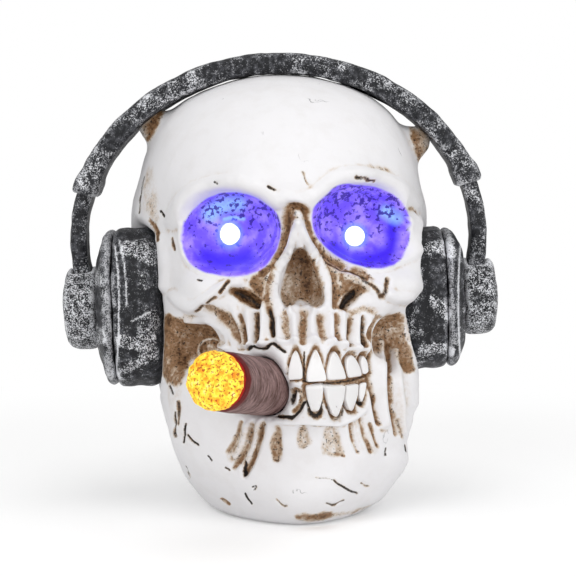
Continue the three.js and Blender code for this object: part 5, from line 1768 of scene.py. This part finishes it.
@dataclass
class Works:
    """The battery case, door, cells, switch, board and leads, in the CAD shapes."""

    finishes: dict[InnerFinish, tuple[str, ...]] = field(default_factory=lambda: {
        InnerFinish.BLACK_PLASTIC: ("battery_case", "battery_door"),
        InnerFinish.CELL: ("battery_1", "battery_2"),
        InnerFinish.STEEL: (
            "negative_contact", "positive_contact", "bridge_contact", "negative_spring", "bridge_spring",
            "switch_body",
        ),
        InnerFinish.WHITE_PLASTIC: ("switch_knob",),
        InnerFinish.BOARD: ("circuit_board",),
        InnerFinish.EPOXY: ("chip_blob",),
        InnerFinish.RESISTOR: ("resistor",),
        InnerFinish.GLUE: ("eye_glue_left", "eye_glue_right"),
        InnerFinish.RED_WIRE: ("battery_lead_red", "switch_lead"),
        InnerFinish.BLACK_WIRE: ("battery_lead_black",),
        InnerFinish.WHITE_WIRE: ("eye_lead_left", "eye_lead_right", "cigar_lead"),
        InnerFinish.AMBER: ("cigar_led",),
    })

    def dress(self) -> None:
        """Give each CAD node its finish."""
        for finish, nodes in self.finishes.items():
            material = finish.value.make()
            for node in nodes:
                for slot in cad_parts[node].material_slots:
                    slot.link = "OBJECT"
                    slot.material = material
                LOG.info("%s: %s", node, finish.value.name)


@dataclass(frozen=True)
class SoftLamp:
    """A soft square lamp that looks at the figure, in metres and watts."""

    name: str
    place: Triple
    size: float
    power: float
    target: Triple = (0.0, 0.0, 0.06)

    def build(self) -> None:
        """Hang the lamp."""
        data = bpy.data.lights.new(self.name, "AREA")
        data.size = self.size
        data.energy = self.power
        lamp = bpy.data.objects.new(self.name, data)
        turn = (Vector(self.target) - Vector(self.place)).to_track_quat("-Z", "Y")
        lamp.matrix_world = Matrix.Translation(self.place) @ turn.to_matrix().to_4x4()
        bpy.context.scene.collection.objects.link(lamp)


@dataclass
class Studio:
    """Pale floor, soft lamps and a white surround, in metres."""

    floor_half: float = 3.0
    floor: Colour = (0.90, 0.90, 0.90)
    floor_lift: float = 0.25
    shadow_near: float = 0.12
    shadow_far: float = 0.26
    world: float = 0.56
    lamps: tuple[SoftLamp, ...] = (
        SoftLamp("key", (-0.45, -0.85, 0.50), 0.6, 2.35),
        SoftLamp("fill", (0.60, -0.80, 0.30), 0.6, 2.6),
        SoftLamp("top", (0.05, -0.1, 0.95), 0.7, 1.8),
    )

    def build(self) -> None:
        """Make the floor, the surround and the lamps."""
        bpy.context.scene.view_settings.view_transform = "Standard"
        self._floor()
        self._surround()
        for lamp in self.lamps:
            lamp.build()

    def _floor(self) -> None:
        """A large pale floor that keeps the figure's shadow."""
        shape = bmesh.new()
        bmesh.ops.create_grid(shape, x_segments=1, y_segments=1, size=self.floor_half)
        floor = link_shape("floor", shape)
        tree = ShaderTree("pale_floor")
        seen = tree.seen("Camera", "Glossy", "Transmission")
        matte = tree.node("ShaderNodeBsdfDiffuse", {}, {"Color": self.floor})
        white = tree.node("ShaderNodeEmission", {}, {"Color": WHITE, "Strength": 1.0})
        lift = tree.node("ShaderNodeEmission", {}, {"Color": WHITE, "Strength": self.floor_lift})
        bright = tree.node("ShaderNodeAddShader", {}, {0: matte, 1: lift})
        near = tree.node("ShaderNodeMixShader", {}, {0: seen, 1: matte, 2: bright})
        where = tree.node("ShaderNodeTexCoord", output="Object")
        away = tree.node("ShaderNodeVectorMath", {"operation": "LENGTH"}, {0: where}, "Value")
        share = seen * away.step(self.shadow_near, self.shadow_far)
        mixed = tree.node("ShaderNodeMixShader", {}, {0: share, 1: near, 2: white})
        floor.data.materials.append(tree.close(mixed))

    def _surround(self) -> None:
        """A surround that is white to the camera and through clear parts, and dimmer as a light."""
        tree = ShaderTree("surround", world=True)
        level = self.world + (1.0 - self.world) * tree.seen("Camera", "Transmission")
        back = tree.node("ShaderNodeBackground", {}, {"Color": WHITE, "Strength": level})
        bpy.context.scene.world = tree.close(back)


def main() -> None:
    """Build the figure's pieces in order and set the studio round them."""
    logging.basicConfig(level=logging.INFO, format="%(message)s")
    CAMERA.build()
    Studio().build()
    skull = Skull().build()
    Teeth().build(skull, ToothEnamel().make())
    skull.finish(BonePaint().make(), "bone")
    Headphones().build(DryBrushedPaint().make())
    Cigar().build()
    EyeLights().build()
    Works().dress()


if __name__ == "__main__":
    main()
